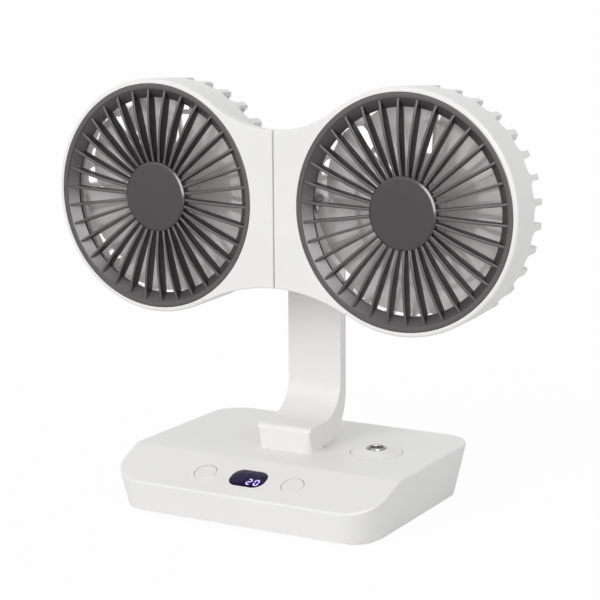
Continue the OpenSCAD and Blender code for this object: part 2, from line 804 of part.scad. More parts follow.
module head_shell(side) {
    color(white) at_head(side) handed(side) difference() {
        union() {
            rotate_extrude($fn = fine) polygon([[bore_r, 0], [bezel_r - rim_break, 0], [bezel_r, rim_break],
                [split_r, front_d], [inner_r, front_d], [inner_r, ledge_d + ledge_t],
                [ledge_r, ledge_d + ledge_t], [ledge_r, ledge_d], [bore_r, ledge_d]]);
            difference() {
                linear_extrude(bridge_t) bridge_half(0);
                cylinder(h = front_d, r = inner_r, $fn = fine);
                translate([0, 0, head_wall + 0.4]) linear_extrude(bridge_t) difference() {
                    bridge_half(head_wall);
                    circle(bezel_r, $fn = fine);
                }
            }
            difference() {
                translate([-head_x + pivot_half + 0.35, 0, tilt_d]) rotate([0, 90, 0])
                    cylinder(h = head_x - pivot_half - 0.35 - boss_in_r, r = boss_r, $fn = fine);
                translate([-bezel_r, -boss_r - cut, front_d]) cube([bezel_r, 2 * boss_r + 2 * cut, front_d]);
            }
            intersection() {
                handed(side) column_places() translate([0, 0, column_seat])
                    cylinder(h = column_front - column_seat, r = column_r, $fn = 48);
                cylinder(h = front_d, r = inner_r + head_wall / 2, $fn = fine);
            }
        }
        handed(side) column_places() translate([0, 0, column_front - screw_tip - 0.5])
            cylinder(h = screw_tip + 2, r = screw_r - 0.1, $fn = 32);
        translate([-head_x, 0, tilt_d]) rotate([0, 90, 0])
            cylinder(h = head_x - boss_in_r + cut, r = tilt_shaft_r + run_gap, $fn = fine);
    }
}

// A slot wraps from the side to the back; its front end has rounded corners.
module vent_slot() {
    half = slot_w / 2;
    corner_y = half - slot_corner;
    reach = bezel_r + cut - slot_straight_r;
    translate([0, 0, slot_front + slot_corner]) linear_extrude(head_d)
        polygon([[slot_inner_r, -slot_inner_w / 2], [slot_straight_r, -half], [bezel_r + cut, -half],
            [bezel_r + cut, half], [slot_straight_r, half], [slot_inner_r, slot_inner_w / 2]]);
    translate([slot_straight_r, -corner_y, slot_front]) cube([reach, 2 * corner_y, 2 * slot_corner]);
    for (y = [-corner_y, corner_y]) translate([slot_straight_r, y, slot_front + slot_corner])
        rotate([0, 90, 0]) cylinder(h = reach, r = slot_corner, $fn = 32);
}

module rear_cage(side) {
    color(white) at_head(side) difference() {
        union() {
            difference() {
                rotate_extrude($fn = fine) polygon([[0, back_in], [cage_inner_r - 1, back_in],
                    [cage_inner_r, back_in - 1], [cage_inner_r, front_d + 1], [spigot_r - 1.4, front_d],
                    [spigot_r - 1.4, front_d - spigot_d], [spigot_r, front_d - spigot_d], [spigot_r, front_d],
                    [split_r, front_d], [back_r, head_d - back_edge], [back_r - back_edge, head_d],
                    [0, head_d]]);
                for (i = [0:slot_n - 1]) rotate([0, 0, i * 360 / slot_n]) vent_slot();
            }
            translate([0, 0, back_in])
                tube(head_wall, mid_ring_r + mid_ring_w / 2, mid_ring_r - mid_ring_w / 2);
            translate([0, 0, tower_front]) cylinder(h = back_in - tower_front + eps, r = tower_r, $fn = fine);
            intersection() {
                column_places() translate([0, 0, column_front])
                    cylinder(h = back_in - column_front + 1, r = column_r, $fn = 48);
                rotate_extrude($fn = fine) polygon([[0, column_front], [spigot_r, column_front],
                    [spigot_r, front_d], [back_r - 0.5, front_d], [back_r - 0.5, head_d - back_edge],
                    [back_r - back_edge - 0.5, head_d], [0, head_d]]);
            }
        }
        column_places() translate([0, 0, column_front - cut])
            cylinder(h = head_d, r = screw_r + 0.2, $fn = 32);
        column_places() translate([0, 0, column_front + 3])
            cylinder(h = head_d, r = screw_head_r - 0.3, $fn = 32);
        translate([0, 0, tower_front - cut])
            cylinder(h = head_d - 2 - tower_front + cut, r = bearing_r, $fn = fine);
        translate([0, 0, head_d - rear_cap_sink])
            cylinder(h = head_wall, r = rear_cap_r + fit_gap, $fn = fine);
        if (side < 0) shaft_notch(1); else shaft_notch(-1);
    }
}

// Room in the spigot for the flange of the tilt shaft.
module shaft_notch(way) {
    translate([way * boss_in_r, 0, tilt_d]) rotate([0, way * 90, 0]) translate([0, 0, -2 * cut])
        cylinder(h = bezel_r, r = boss_r + 0.4, $fn = 48);
}

module head_screws(side) {
    color(metal) at_head(side) column_places() translate([0, 0, column_front + 3]) {
        cylinder(h = screw_head_h, r = screw_head_r - 0.5, $fn = 32);
        translate([0, 0, -3 - screw_tip]) cylinder(h = 3 + screw_tip, r = screw_r - 0.2, $fn = 32);
    }
}

// Front edge of a spoke: it falls away from the crest to the disc and to the tip on the dished ring.
spoke_root_r = disc_r - 1.3;
spoke_steps = 14;
disc_under = disc_d + 1.4;
dish_t = 2.1;
function spoke_front(r) =
    let (low_r = r < spoke_crest_r ? disc_r : spoke_tip_r, low_d = r < spoke_crest_r ? spoke_root_d : spoke_tip_d)
    (low_d + spoke_bulge) * pow((r - spoke_crest_r) / (low_r - spoke_crest_r), 2) - spoke_bulge;

module spoke() {
    start = disc_r + fit_gap;
    top = [for (i = [0:spoke_steps]) let (r = start + (spoke_tip_r - start) * i / spoke_steps)
        [r, spoke_front(r)]];
    translate([0, spoke_t / 2, 0]) rotate([90, 0, 0]) linear_extrude(spoke_t)
        polygon(concat([[spoke_root_r, disc_under + 0.4], [start, disc_under + 0.4]], top,
            [[dish_r + 0.7, dish_d - 0.8], [dish_r - 1, spoke_back], [spoke_root_r, spoke_back - 0.4]]));
}

module front_grille(side) {
    color(dark) at_head(side) {
        rotate_extrude($fn = fine) polygon([[grille_r - rim_w, 0], [grille_r, 0], [grille_r, ledge_d],
            [ledge_r + 0.3, ledge_d], [ledge_r + 0.3, dish_t], [grille_r - rim_w, dish_t],
            [dish_r + 1, dish_d], [dish_r, dish_d], [dish_r, dish_d - 1.5]]);
        for (i = [0:spoke_n - 1]) rotate([0, 0, -spoke_phase - i * 360 / spoke_n]) spoke();
        rotate_extrude($fn = fine) polygon([[0, spoke_back - 1.2], [disc_r - 2.4, spoke_back - 1.2],
            [disc_r - 2.4, disc_under], [disc_r - 0.2, disc_under], [disc_r - 0.2, spoke_back],
            [0, spoke_back]]);
    }
}

module grille_disc(side) {
    color([0.3, 0.28, 0.28]) at_head(side) rotate_extrude($fn = fine)
        polygon([[0, disc_d], [disc_r - 0.9, disc_d], [disc_r, disc_d + 0.9], [disc_r, disc_under],
            [disc_r - 2.5, disc_under], [disc_r - 2.5, disc_d + 2.6], [0, disc_d + 2.6]]);
}

module fan_rotor(side) {
    span = hub_back - hub_front;
    tip_w = span / sin(blade_pitch);
    root_at = sqrt(hub_r * hub_r - blade_root_w * blade_root_w / 4) - 2;
    color([0.6, 0.63, 0.6]) at_head(side) {
        rotate_extrude($fn = fine) polygon([[shaft_r, hub_front], [hub_r - 3, hub_front],
            [hub_r, hub_front + 2], [hub_r, hub_back], [hub_r - hub_wall, hub_back],
            [hub_r - hub_wall, hub_front + 2.8], [hub_r - 4, hub_front + hub_wall],
            [shaft_r + 2, hub_front + hub_wall], [shaft_r + 2, tower_front - 1], [shaft_r, tower_front - 1]]);
        intersection() {
            for (i = [0:blade_n - 1]) rotate([0, 0, i * 360 / blade_n])
                translate([0, 0, (hub_front + hub_back) / 2]) rotate([-blade_pitch, 0, 0])
                    translate([0, 0, -blade_t / 2]) linear_extrude(blade_t)
                        polygon([[root_at, -blade_root_w / 2], [blade_r, -tip_w / 2],
                            [blade_r, tip_w / 2], [root_at, blade_root_w / 2]]);
            translate([0, 0, hub_front + 0.6]) tube(span - 1.2, blade_r, hub_r - 0.5);
        }
    }
}

module rotor_magnet(side) {
    color([0.25, 0.25, 0.27]) at_head(side) translate([0, 0, stator_front - 1])
        tube(stator_l + 2, hub_r - hub_wall, hub_r - hub_wall - magnet_t);
}

module motor_shaft(side) {
    color(metal) at_head(side) translate([0, 0, hub_front])
        cylinder(h = head_d - shaft_end_in - hub_front, r = shaft_r, $fn = 48);
}

module motor_stator(side) {
    color([0.7, 0.4, 0.2]) at_head(side) translate([0, 0, stator_front]) {
        tube(stator_l, tower_r + 3, tower_r);
        for (i = [0:coil_n - 1]) rotate([0, 0, i * 360 / coil_n]) translate([tower_r + 2, -coil_w / 2, 0.8])
            cube([stator_r - tower_r - 3, coil_w, stator_l - 1.6]);
        for (i = [0:coil_n - 1]) rotate([0, 0, i * 360 / coil_n])
            translate([stator_r - shoe_t, -shoe_w / 2, 0]) cube([shoe_t, shoe_w, stator_l]);
    }
}

module motor_board(side) {
    color(board_green) at_head(side) translate([0, 0, motor_board_d]) tube(board_t, motor_board_r, tower_r);
}

module motor_bearings(side) {
    color([0.72, 0.58, 0.3]) at_head(side) for (d = [tower_front, head_d - bearing_end_in - bearing_l])
        translate([0, 0, d]) tube(bearing_l, bearing_r, shaft_r + run_gap);
}

module rear_cap(side) {
    color(white) at_head(side) translate([0, 0, head_d - rear_cap_sink])
        cylinder(h = rear_cap_t, r = rear_cap_r, $fn = fine);
}

base_shell();
base_bottom();
rubber_feet();
base_screws();
display_window();
display_module();
control_board();
button_switches();
panel_button(left);  // left_button
panel_button(right);  // right_button
battery_cells();
battery_tray();
charge_board();
usb_port();
water_tank();
mist_wick();
mist_cap();
cap_seal();
mist_disc();
mist_nozzle();
arm_shell();
arm_back_cover();
arm_screws();
arm_cable();
pivot_block();
pivot_screws();
tilt_bushes();
friction_washers();
tilt_shaft(left);  // left_tilt_shaft
head_shell(left);  // left_head_shell
rear_cage(left);  // left_rear_cage
front_grille(left);  // left_front_grille
grille_disc(left);  // left_grille_disc
fan_rotor(left);  // left_fan_rotor
rotor_magnet(left);  // left_rotor_magnet
motor_shaft(left);  // left_motor_shaft
motor_stator(left);  // left_motor_stator
motor_board(left);  // left_motor_board
motor_bearings(left);  // left_motor_bearings
rear_cap(left);  // left_rear_cap
head_screws(left);  // left_head_screws
tilt_shaft(right);  // right_tilt_shaft
head_shell(right);  // right_head_shell
rear_cage(right);  // right_rear_cage
front_grille(right);  // right_front_grille
grille_disc(right);  // right_grille_disc
fan_rotor(right);  // right_fan_rotor
rotor_magnet(right);  // right_rotor_magnet
motor_shaft(right);  // right_motor_shaft
motor_stator(right);  // right_motor_stator
motor_board(right);  // right_motor_board
motor_bearings(right);  // right_motor_bearings
rear_cap(right);  // right_rear_cap
head_screws(right);  // right_head_screws
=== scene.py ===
import math

import bpy
from mathutils import Matrix, Vector


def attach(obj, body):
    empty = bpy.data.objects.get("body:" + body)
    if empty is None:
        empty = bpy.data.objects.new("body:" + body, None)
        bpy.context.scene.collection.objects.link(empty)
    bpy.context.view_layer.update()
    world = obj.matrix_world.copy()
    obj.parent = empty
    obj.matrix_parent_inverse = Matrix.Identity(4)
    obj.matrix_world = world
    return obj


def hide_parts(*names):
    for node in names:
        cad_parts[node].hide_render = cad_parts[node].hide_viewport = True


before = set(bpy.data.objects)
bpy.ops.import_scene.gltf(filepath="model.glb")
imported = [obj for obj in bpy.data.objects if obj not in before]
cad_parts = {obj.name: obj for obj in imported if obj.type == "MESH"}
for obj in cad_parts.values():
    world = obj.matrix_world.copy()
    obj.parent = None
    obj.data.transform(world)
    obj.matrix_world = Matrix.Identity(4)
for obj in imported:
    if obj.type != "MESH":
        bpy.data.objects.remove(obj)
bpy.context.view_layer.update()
scene = bpy.context.scene
mm = 0.001                                         # the sizes of the object are in millimetres

# Places that several pieces share
fan = {"x": 74.0, "z": 164.0, "faceY": -20.0, "tiltDepth": 16.0}
base = {"width": 162.0, "height": 30.0, "bottomZ": 1.0, "frontY": -64.94, "backY": 63.0, "lean": 5.0,
        "corner": 18.0, "wall": 2.2, "edge": 1.1, "ridgeY": -32.5, "lipZ": 18.0, "panelRun": 30.5}
panelDrop = base["height"] - base["lipZ"]
panelAngle = math.atan2(panelDrop, base["panelRun"])
panelLength = math.hypot(panelDrop, base["panelRun"])
upSlope = Vector((0, math.cos(panelAngle), math.sin(panelAngle)))
outOfPanel = Vector((0, -math.sin(panelAngle), math.cos(panelAngle)))
panelMiddle = Vector((0, base["ridgeY"], base["height"])) - upSlope * panelLength / 2
acrossX, alongY, upZ = Vector((1, 0, 0)), Vector((0, 1, 0)), Vector((0, 0, 1))
sides = ((-1, "left"), (1, "right"))


def deselectAll():
    if bpy.context.object and bpy.context.object.mode != "OBJECT":
        bpy.ops.object.mode_set(mode="OBJECT")
    bpy.ops.object.select_all(action="DESELECT")


def pick(piece):
    deselectAll()
    piece.select_set(True)
    bpy.context.view_layer.objects.active = piece


def nameNew(name):
    # Names what was just added, and puts its place, turn and size into its mesh
    piece = bpy.context.object
    piece.name = piece.data.name = name
    bpy.ops.object.transform_apply(location=True, rotation=True, scale=True)
    return piece


def applyModifier(piece, kind, **settings):
    pick(piece)
    bpy.ops.object.modifier_add(type=kind)
    modifier = piece.modifiers[-1]
    for name, value in settings.items():
        setattr(modifier, name, value)
    bpy.ops.object.modifier_apply(modifier=modifier.name)


def roundEdges(piece, width, segments=3, angle=35):
    applyModifier(piece, "BEVEL", width=width * mm, segments=segments, limit_method="ANGLE",
                  angle_limit=math.radians(angle), use_clamp_overlap=True)


def smooth(piece, angle=32):
    pick(piece)
    bpy.ops.object.shade_smooth_by_angle(angle=math.radians(angle))


def evenShading(piece):
    applyModifier(piece, "WEIGHTED_NORMAL", keep_sharp=True, weight=60)


def turnMesh(piece, angle, axis, centre):
    piece.data.transform(Matrix.Translation(centre) @ Matrix.Rotation(angle, 4, axis)
                         @ Matrix.Translation(-centre))


def selectWhere(piece, kind, test):
    # In edit mode, selects edges by their two ends or polygons by their middle and normal
    pick(piece)
    bpy.ops.object.mode_set(mode="EDIT")
    bpy.ops.mesh.select_mode(type={"edges": "EDGE", "polygons": "FACE"}[kind])
    bpy.ops.mesh.select_all(action="DESELECT")
    bpy.ops.object.mode_set(mode="OBJECT")
    mesh = piece.data
    for item in getattr(mesh, kind):
        if kind == "edges":
            item.select = test(*(mesh.vertices[i].co for i in item.vertices))
        else:
            item.select = test(item.center, item.normal)
    bpy.ops.object.mode_set(mode="EDIT")


def bevelSelected(width, segments, clamp=False):
    bpy.ops.mesh.bevel(offset=width * mm, segments=segments, profile=0.5, clamp_overlap=clamp)
    bpy.ops.object.mode_set(mode="OBJECT")


def mergeClose(distance):
    bpy.ops.mesh.select_all(action="SELECT")
    bpy.ops.mesh.remove_doubles(threshold=distance)


def faceOutwards():
    # Leaves edit mode with every face looking outwards
    bpy.ops.mesh.select_all(action="SELECT")
    bpy.ops.mesh.normals_make_consistent(inside=False)
    bpy.ops.object.mode_set(mode="OBJECT")


def cornered(points, steps=5):
    # Outline points (a, b) or (a, b, radius): a radius rounds that corner
    line = []
    count = len(points)
    for i, point in enumerate(points):
        here = Vector(point[:2])
        radius = point[2] if len(point) > 2 else 0
        if not radius:
            line.append(tuple(here))
            continue
        before = (Vector(points[i - 1][:2]) - here).normalized()
        after = (Vector(points[(i + 1) % count][:2]) - here).normalized()
        half = before.angle(after) / 2
        back = radius / math.tan(half)
        middle = here + (before + after).normalized() * radius / math.sin(half)
        start, end = here + before * back - middle, here + after * back - middle
        turn = start.angle_signed(end)
        for k in range(steps + 1):
            a = -turn * k / steps
            line.append((middle.x + start.x * math.cos(a) - start.y * math.sin(a),
                         middle.y + start.x * math.sin(a) + start.y * math.cos(a)))
    return line


def roundedBox(halfWidth, halfHeight, radius, steps):
    w, h = halfWidth, halfHeight
    return cornered([(w, -h, radius), (w, h, radius), (-w, h, radius), (-w, -h, radius)], steps)


def arcPoints(a, b, radius, start, end, steps=20):
    angles = [math.radians(start + (end - start) * k / steps) for k in range(steps + 1)]
    return [(a + radius * math.cos(t), b + radius * math.sin(t)) for t in angles]


def drawOutline(name, points, origin, sideways, onwards):
    # A plane shrunk to one vertex, then extruded from point to point
    places = [origin + (sideways * a + onwards * b) * mm for a, b in points]
    deselectAll()
    bpy.ops.mesh.primitive_plane_add(size=0.001, location=places[0])
    piece = nameNew(name)
    bpy.ops.object.mode_set(mode="EDIT")
    bpy.ops.mesh.select_mode(type="VERT")
    bpy.ops.mesh.select_all(action="SELECT")
    bpy.ops.mesh.merge(type="CENTER")
    for last, place in zip(places, places[1:]):
        bpy.ops.mesh.extrude_vertices_move(TRANSFORM_OT_translate={"value": place - last})
    return piece


def spunPiece(name, points, origin, sideways, axis, steps=128, angle=32):
    # A closed outline of (radius, height) points turned once round the axis
    piece = drawOutline(name, points + [points[0]], origin, sideways, axis)
    mergeClose(1e-7)                               # the two ends of the outline
    bpy.ops.mesh.select_all(action="SELECT")
    bpy.ops.mesh.spin(steps=steps, angle=2 * math.pi, center=origin, axis=axis)
    mergeClose(2e-6)                               # the last turn on the first, and points on the axis
    faceOutwards()
    smooth(piece, angle)
    return piece


def slabPiece(name, points, origin, sideways, onwards, depth):
    # An outline filled and extruded to a slab
    piece = drawOutline(name, points, origin, sideways, onwards)
    bpy.ops.mesh.select_all(action="SELECT")
    bpy.ops.mesh.edge_face_add()
    bpy.ops.mesh.select_all(action="SELECT")
    bpy.ops.mesh.extrude_region_move(TRANSFORM_OT_translate={"value": depth * mm})
    faceOutwards()
    return piece


def discAt(name, radius, depth, place, axis, vertices):
    deselectAll()
    bpy.ops.mesh.primitive_cylinder_add(vertices=vertices, radius=radius * mm, depth=depth * mm,
                                        location=place, rotation=upZ.rotation_difference(axis).to_euler())
    return nameNew(name)


def joinPieces(name, pieces):
    deselectAll()
    for piece in pieces:
        piece.select_set(True)
    bpy.context.view_layer.objects.active = pieces[0]
    bpy.ops.object.join()
    pieces[0].name = pieces[0].data.name = name
    return pieces[0]


def copiesAround(piece, count, centre, name):
    # Evenly spaced copies round the fan's axis, joined to one mesh
    copies = [piece]
    for k in range(1, count):
        pick(piece)
        bpy.ops.object.duplicate(linked=False)
        copy = bpy.context.object
        turnMesh(copy, 2 * math.pi * k / count, "Y", centre)
        copies.append(copy)
    return joinPieces(name, copies)


def cutAway(piece, cutter):
    applyModifier(piece, "BOOLEAN", operation="DIFFERENCE", solver="EXACT", object=cutter)
    pick(cutter)
    bpy.ops.object.delete()


def finishPiece(piece, material, body, nodes):
    piece.data.materials.clear()
    piece.data.materials.append(material)
    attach(piece, body)
    if nodes:
        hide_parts(*nodes)


# Shader nodes
def setInputs(tree, node, values):
    # An input takes a plain value, or a link where the value is another node's output
    for place, value in values.items():
        if isinstance(value, bpy.types.NodeSocket):
            tree.links.new(value, node.inputs[place])
        else:
            node.inputs[place].default_value = value
    return node


def addNode(tree, kind, values, **settings):
    node = tree.nodes.new("ShaderNode" + kind)
    for name, value in settings.items():
        setattr(node, name, value)
    return setInputs(tree, node, values)


def newGroup(name, inputs, outputs):
    group = bpy.data.node_groups.new(name, "ShaderNodeTree")
    for label, kind, value in inputs:
        socket = group.interface.new_socket(name=label, in_out="INPUT", socket_type=kind)
        socket.default_value = value
    for label, kind in outputs:
        group.interface.new_socket(name=label, in_out="OUTPUT", socket_type=kind)
    return group, group.nodes.new("NodeGroupInput"), group.nodes.new("NodeGroupOutput")


# The effect that all finishes share: a slow drift of colour and roughness, and a fine grain
drift = {"scale": 22, "detail": 3, "low": 0.3, "high": 0.7, "roughSwing": 0.16, "grainDetail": 2}
plainLook = {"drift": 0.03, "grainSize": 3000, "roughness": 0.4, "grain": 0.3, "bump": 0.15, "specular": 0.5,
             "metallic": 0, "clear": 0, "ior": 1.45}


def plasticSkinGroup():
    group, start, end = newGroup(
        "plasticSkin",
        [("Color", "NodeSocketColor", (0.8, 0.8, 0.8, 1)), ("Drift", "NodeSocketFloat", plainLook["drift"]),
         ("Grain Size", "NodeSocketFloat", plainLook["grainSize"]),
         ("Roughness", "NodeSocketFloat", plainLook["roughness"]),
         ("Grain Height", "NodeSocketFloat", plainLook["grain"])],
        [("Color", "NodeSocketColor"), ("Roughness", "NodeSocketFloat"), ("Height", "NodeSocketFloat")])
    asked = start.outputs
    place = addNode(group, "TexCoord", {}).outputs["Object"]
    slow = addNode(group, "TexNoise", {"Vector": place, "Scale": drift["scale"], "Detail": drift["detail"]})
    grain = addNode(group, "TexNoise", {"Vector": place, "Scale": asked["Grain Size"],
                                        "Detail": drift["grainDetail"]})
    darkest = addNode(group, "Math", {0: 1, 1: asked["Drift"]}, operation="SUBTRACT")
    spread = addNode(group, "MapRange", {
        "Value": slow.outputs["Fac"], "From Min": drift["low"], "From Max": drift["high"],
        "To Min": darkest.outputs[0], "To Max": 1})
    tint = addNode(group, "VectorMath", {0: asked["Color"], "Scale": spread.outputs["Result"]},
                   operation="SCALE")
    lowest = addNode(group, "Math", {0: asked["Roughness"], 1: drift["roughSwing"] / 2}, operation="SUBTRACT")
    rough = addNode(group, "Math", {0: slow.outputs["Fac"], 1: drift["roughSwing"], 2: lowest.outputs[0]},
                    operation="MULTIPLY_ADD")
    height = addNode(group, "Math", {0: grain.outputs["Fac"], 1: asked["Grain Height"]}, operation="MULTIPLY")
    setInputs(group, end, {"Color": tint.outputs["Vector"], "Roughness": rough.outputs[0],
                           "Height": height.outputs[0]})
    return group


plasticSkin = plasticSkinGroup()
print("stage: shared effects")


def newMaterial(name):
    material = bpy.data.materials.new(name)
    material.use_nodes = True
    return material, material.node_tree, material.node_tree.nodes["Principled BSDF"]


def paintedFacingShade(tree, look):
    # Painted light and shade: faces that look forwards get a lighter colour and the sides of the spokes a
    # darker one, as if light from the front fell on the fronts and missed the sides
    place = addNode(tree, "TexCoord", {}).outputs["Normal"]
    facing = addNode(tree, "VectorMath", {0: place, 1: -alongY}, operation="DOT_PRODUCT")
    share = addNode(tree, "MapRange", {"Value": facing.outputs["Value"], "From Min": look["turnedAway"],
                                       "From Max": look["turnedFront"]})
    blend = addNode(tree, "Mix", {"Factor": share.outputs["Result"], "A": (*look["sideColor"], 1),
                                  "B": (*look["color"], 1)}, data_type="RGBA")
    return blend.outputs["Result"]


def makeFinish(name, changes):
    look = {**plainLook, **changes}
    material, tree, shader = newMaterial(name)
    skin = addNode(tree, "Group", {
        # Where a side colour is given, the colour carries painted light and shade set by which way each face
        # looks
        "Color": paintedFacingShade(tree, look) if "sideColor" in look else (*look["color"], 1),
        "Drift": look["drift"], "Grain Size": look["grainSize"], "Roughness": look["roughness"],
        "Grain Height": look["grain"]}, node_tree=plasticSkin)
    bump = addNode(tree, "Bump", {"Strength": look["bump"], "Distance": 0.0001,
                                  "Height": skin.outputs["Height"]})
    setInputs(tree, shader, {
        "Base Color": skin.outputs["Color"], "Roughness": skin.outputs["Roughness"],
        "Normal": bump.outputs["Normal"], "Specular IOR Level": look["specular"],
        "Metallic": look["metallic"], "Transmission Weight": look["clear"], "IOR": look["ior"]})
    return material


looks = {
    "whitePlastic": {"color": (0.84, 0.832, 0.828), "roughness": 0.42, "drift": 0.02},
    "buttonPlastic": {"color": (0.83, 0.822, 0.82), "roughness": 0.34, "drift": 0.015, "grain": 0.15},
    # The grille's side colour is painted shade on faces turned sideways; its main colour is the lighter, lit
    # front
    "grillePlastic": {"color": (0.08, 0.072, 0.073), "sideColor": (0.016, 0.013, 0.014), "turnedAway": 0.3,
                      "turnedFront": 0.95, "roughness": 0.36, "drift": 0.12, "grainSize": 2500,
                      "specular": 0.85},
    "discPlastic": {"color": (0.034, 0.029, 0.031), "roughness": 0.22, "drift": 0.08, "grain": 0.2,
                    "specular": 1.0},
    "smokyPlastic": {"color": (0.9, 0.88, 0.88), "roughness": 0.2, "drift": 0.1, "clear": 0.45, "grain": 0.1,
                     "ior": 1.15, "bump": 0.05},
    "blackWindow": {"color": (0.012, 0.006, 0.045), "roughness": 0.12, "drift": 0.3, "grain": 0.05,
                    "specular": 0.3},
    "tankPlastic": {"color": (0.8, 0.86, 0.9), "roughness": 0.15, "clear": 0.8, "grain": 0.1},
    "greyPlastic": {"color": (0.55, 0.55, 0.55), "roughness": 0.5},
    "blackPlastic": {"color": (0.03, 0.03, 0.032), "roughness": 0.45},
    "footRubber": {"color": (0.03, 0.03, 0.03), "roughness": 0.8, "grain": 0.8, "grainSize": 1500},
    "boardGreen": {"color": (0.02, 0.12, 0.05), "roughness": 0.35, "drift": 0.25, "grain": 0.5,
                   "grainSize": 900},
    "cellWrap": {"color": (0.03, 0.12, 0.35), "roughness": 0.25, "grain": 0.1},
    "cableJacket": {"color": (0.4, 0.05, 0.04), "roughness": 0.45},
    "wickCotton": {"color": (0.85, 0.85, 0.82), "roughness": 0.9, "grain": 1.0, "grainSize": 1200,
                   "bump": 0.6},
    "plainSteel": {"color": (0.55, 0.55, 0.56), "roughness": 0.32, "metallic": 1, "drift": 0.1},
    "brightMetal": {"color": (0.3, 0.3, 0.29), "roughness": 0.22, "metallic": 1, "drift": 0.05,
                    "grain": 0.05},
    "discSteel": {"color": (0.75, 0.75, 0.74), "roughness": 0.3, "metallic": 0.6, "drift": 0.05},
    "turnedBrass": {"color": (0.6, 0.42, 0.18), "roughness": 0.3, "metallic": 1, "drift": 0.1},
    "copperWire": {"color": (0.6, 0.22, 0.08), "roughness": 0.35, "metallic": 0.6, "grain": 0.8,
                   "grainSize": 1500},
    "darkMagnet": {"color": (0.06, 0.06, 0.065), "roughness": 0.5, "metallic": 0.7, "drift": 0.2},
}
finishes = {name: makeFinish(name, look) for name, look in looks.items()}

glowLook = {"color": (0.5, 0.45, 0.9, 1), "light": (0.5, 0.42, 1.0, 1), "strength": 1.0}


def makeGlow():
    material, tree, shader = newMaterial("displayGlow")
    setInputs(tree, shader, {"Base Color": glowLook["color"], "Emission Color": glowLook["light"],
                             "Emission Strength": glowLook["strength"]})
    return material


finishes["displayGlow"] = makeGlow()
print("stage: materials")

# Base casing: a drafted block, sliced for the sloping panel, hollowed and holed
casing = {"windowWidth": 21.0, "windowHeight": 13.8, "windowCorner": 5.9, "windowGap": 0.1, "buttonX": 26.5,
          "buttonRadius": 6.0, "buttonGap": 0.3, "capX": 45.2, "capY": 10.6, "capRadius": 14.0, "capGap": 0.3,
          "socket": (45.0, 50.0, 11.25), "socketHalfWidth": 4.7, "socketHalfHeight": 1.85,
          "socketCorner": 1.6, "socketDepth": 20.0, "holeDepth": 16.0, "holeEdge": 0.22}
capCentre = Vector((casing["capX"], casing["capY"], 0)) * mm


def windowOutline(grow=0.0):
    return roundedBox(casing["windowWidth"] / 2 + grow, casing["windowHeight"] / 2 + grow,
                      casing["windowCorner"] + grow, 10)


def buttonPlace(side):
    return panelMiddle * mm + acrossX * side * casing["buttonX"] * mm


def makeCasing():
    c, low, high = casing, base["bottomZ"], base["height"]
    middleY, depth = (base["frontY"] + base["backY"]) / 2, base["backY"] - base["frontY"]
    deselectAll()
    bpy.ops.mesh.primitive_cube_add(size=1, location=(0, middleY * mm, (low + high) / 2 * mm))
    bpy.context.object.scale = (base["width"] * mm, depth * mm, (high - low) * mm)
    piece = nameNew("baseCasing")
    selectWhere(piece, "polygons", lambda middle, normal: normal.z < -0.9)    # the underside
    bpy.ops.transform.resize(value=((base["width"] - 2 * base["lean"]) / base["width"],
                                    (depth - 2 * base["lean"]) / depth, 1),
                             center_override=(0, middleY * mm, low * mm))
    selectWhere(piece, "edges", lambda p, q: abs(p.z - q.z) > (high - low) / 2 * mm)    # the four uprights
    bpy.ops.mesh.bevel(offset=base["corner"] * mm, offset_type="OFFSET", segments=16, profile=0.5)
    bpy.ops.mesh.select_all(action="SELECT")
    bpy.ops.mesh.bisect(plane_co=(0, base["ridgeY"] * mm, high * mm), plane_no=outOfPanel, use_fill=True,
                        clear_outer=True, threshold=1e-6)
    faceOutwards()
    roundEdges(piece, base["edge"], segments=4, angle=14)
    openBelow = (low + base["edge"] + 0.3) * mm    # just above the rounded lower edge
    selectWhere(piece, "polygons", lambda middle, normal: normal.z < -0.5 and middle.z < openBelow)
    bpy.ops.mesh.delete(type="FACE")
    bpy.ops.object.mode_set(mode="OBJECT")
    applyModifier(piece, "SOLIDIFY", thickness=base["wall"] * mm, offset=-1, use_even_offset=True,
                  use_rim=True)
    through = outOfPanel * c["holeDepth"]
    cutAway(piece, slabPiece("cutter", windowOutline(c["windowGap"]), (panelMiddle - through / 2) * mm,
                             acrossX, upSlope, through))
    for side, word in sides:
        cutAway(piece, discAt("cutter", c["buttonRadius"] + c["buttonGap"], c["holeDepth"],
                              buttonPlace(side), outOfPanel, 96))
    cutAway(piece, discAt("cutter", c["capRadius"] + c["capGap"], c["holeDepth"],
                          Vector((c["capX"], c["capY"], high)) * mm, upZ, 128))
    socket = roundedBox(c["socketHalfWidth"], c["socketHalfHeight"], c["socketCorner"], 6)
    cutAway(piece, slabPiece("cutter", socket, Vector(c["socket"]) * mm, acrossX, upZ,
                             alongY * c["socketDepth"]))
    roundEdges(piece, c["holeEdge"], segments=2, angle=60)
    smooth(piece, 30)
    evenShading(piece)
    finishPiece(piece, finishes["whitePlastic"], "base", ["base_shell"])


makeCasing()
print("stage: base casing")

# Display window with its two digits, each made of bars
display = {"sink": 0.1, "thickness": 1.6, "edge": 0.35, "digitHeight": 5.0, "digitWidth": 2.9, "stroke": 0.75,
           "barGap": 0.25, "left": 0.3, "bottom": -4.9, "gap": 1.5, "proud": 0.03, "rooted": 0.05,
           "digits": ("abged", "abcdef")}
barPlaces = {"a": (0, 1, False), "b": (1, 0.5, True), "c": (1, -0.5, True), "d": (0, -1, False),
             "e": (-1, -0.5, True), "f": (-1, 0.5, True), "g": (0, 0, False)}      # across, up, upright


def makeWindow():
    underside = panelMiddle * mm - outOfPanel * (display["sink"] + display["thickness"]) * mm
    piece = slabPiece("displayWindow", windowOutline(), underside, acrossX, upSlope,
                      outOfPanel * display["thickness"])
    roundEdges(piece, display["edge"], segments=4, angle=50)
    smooth(piece, 40)
    finishPiece(piece, finishes["blackWindow"], "base", ["display_window"])


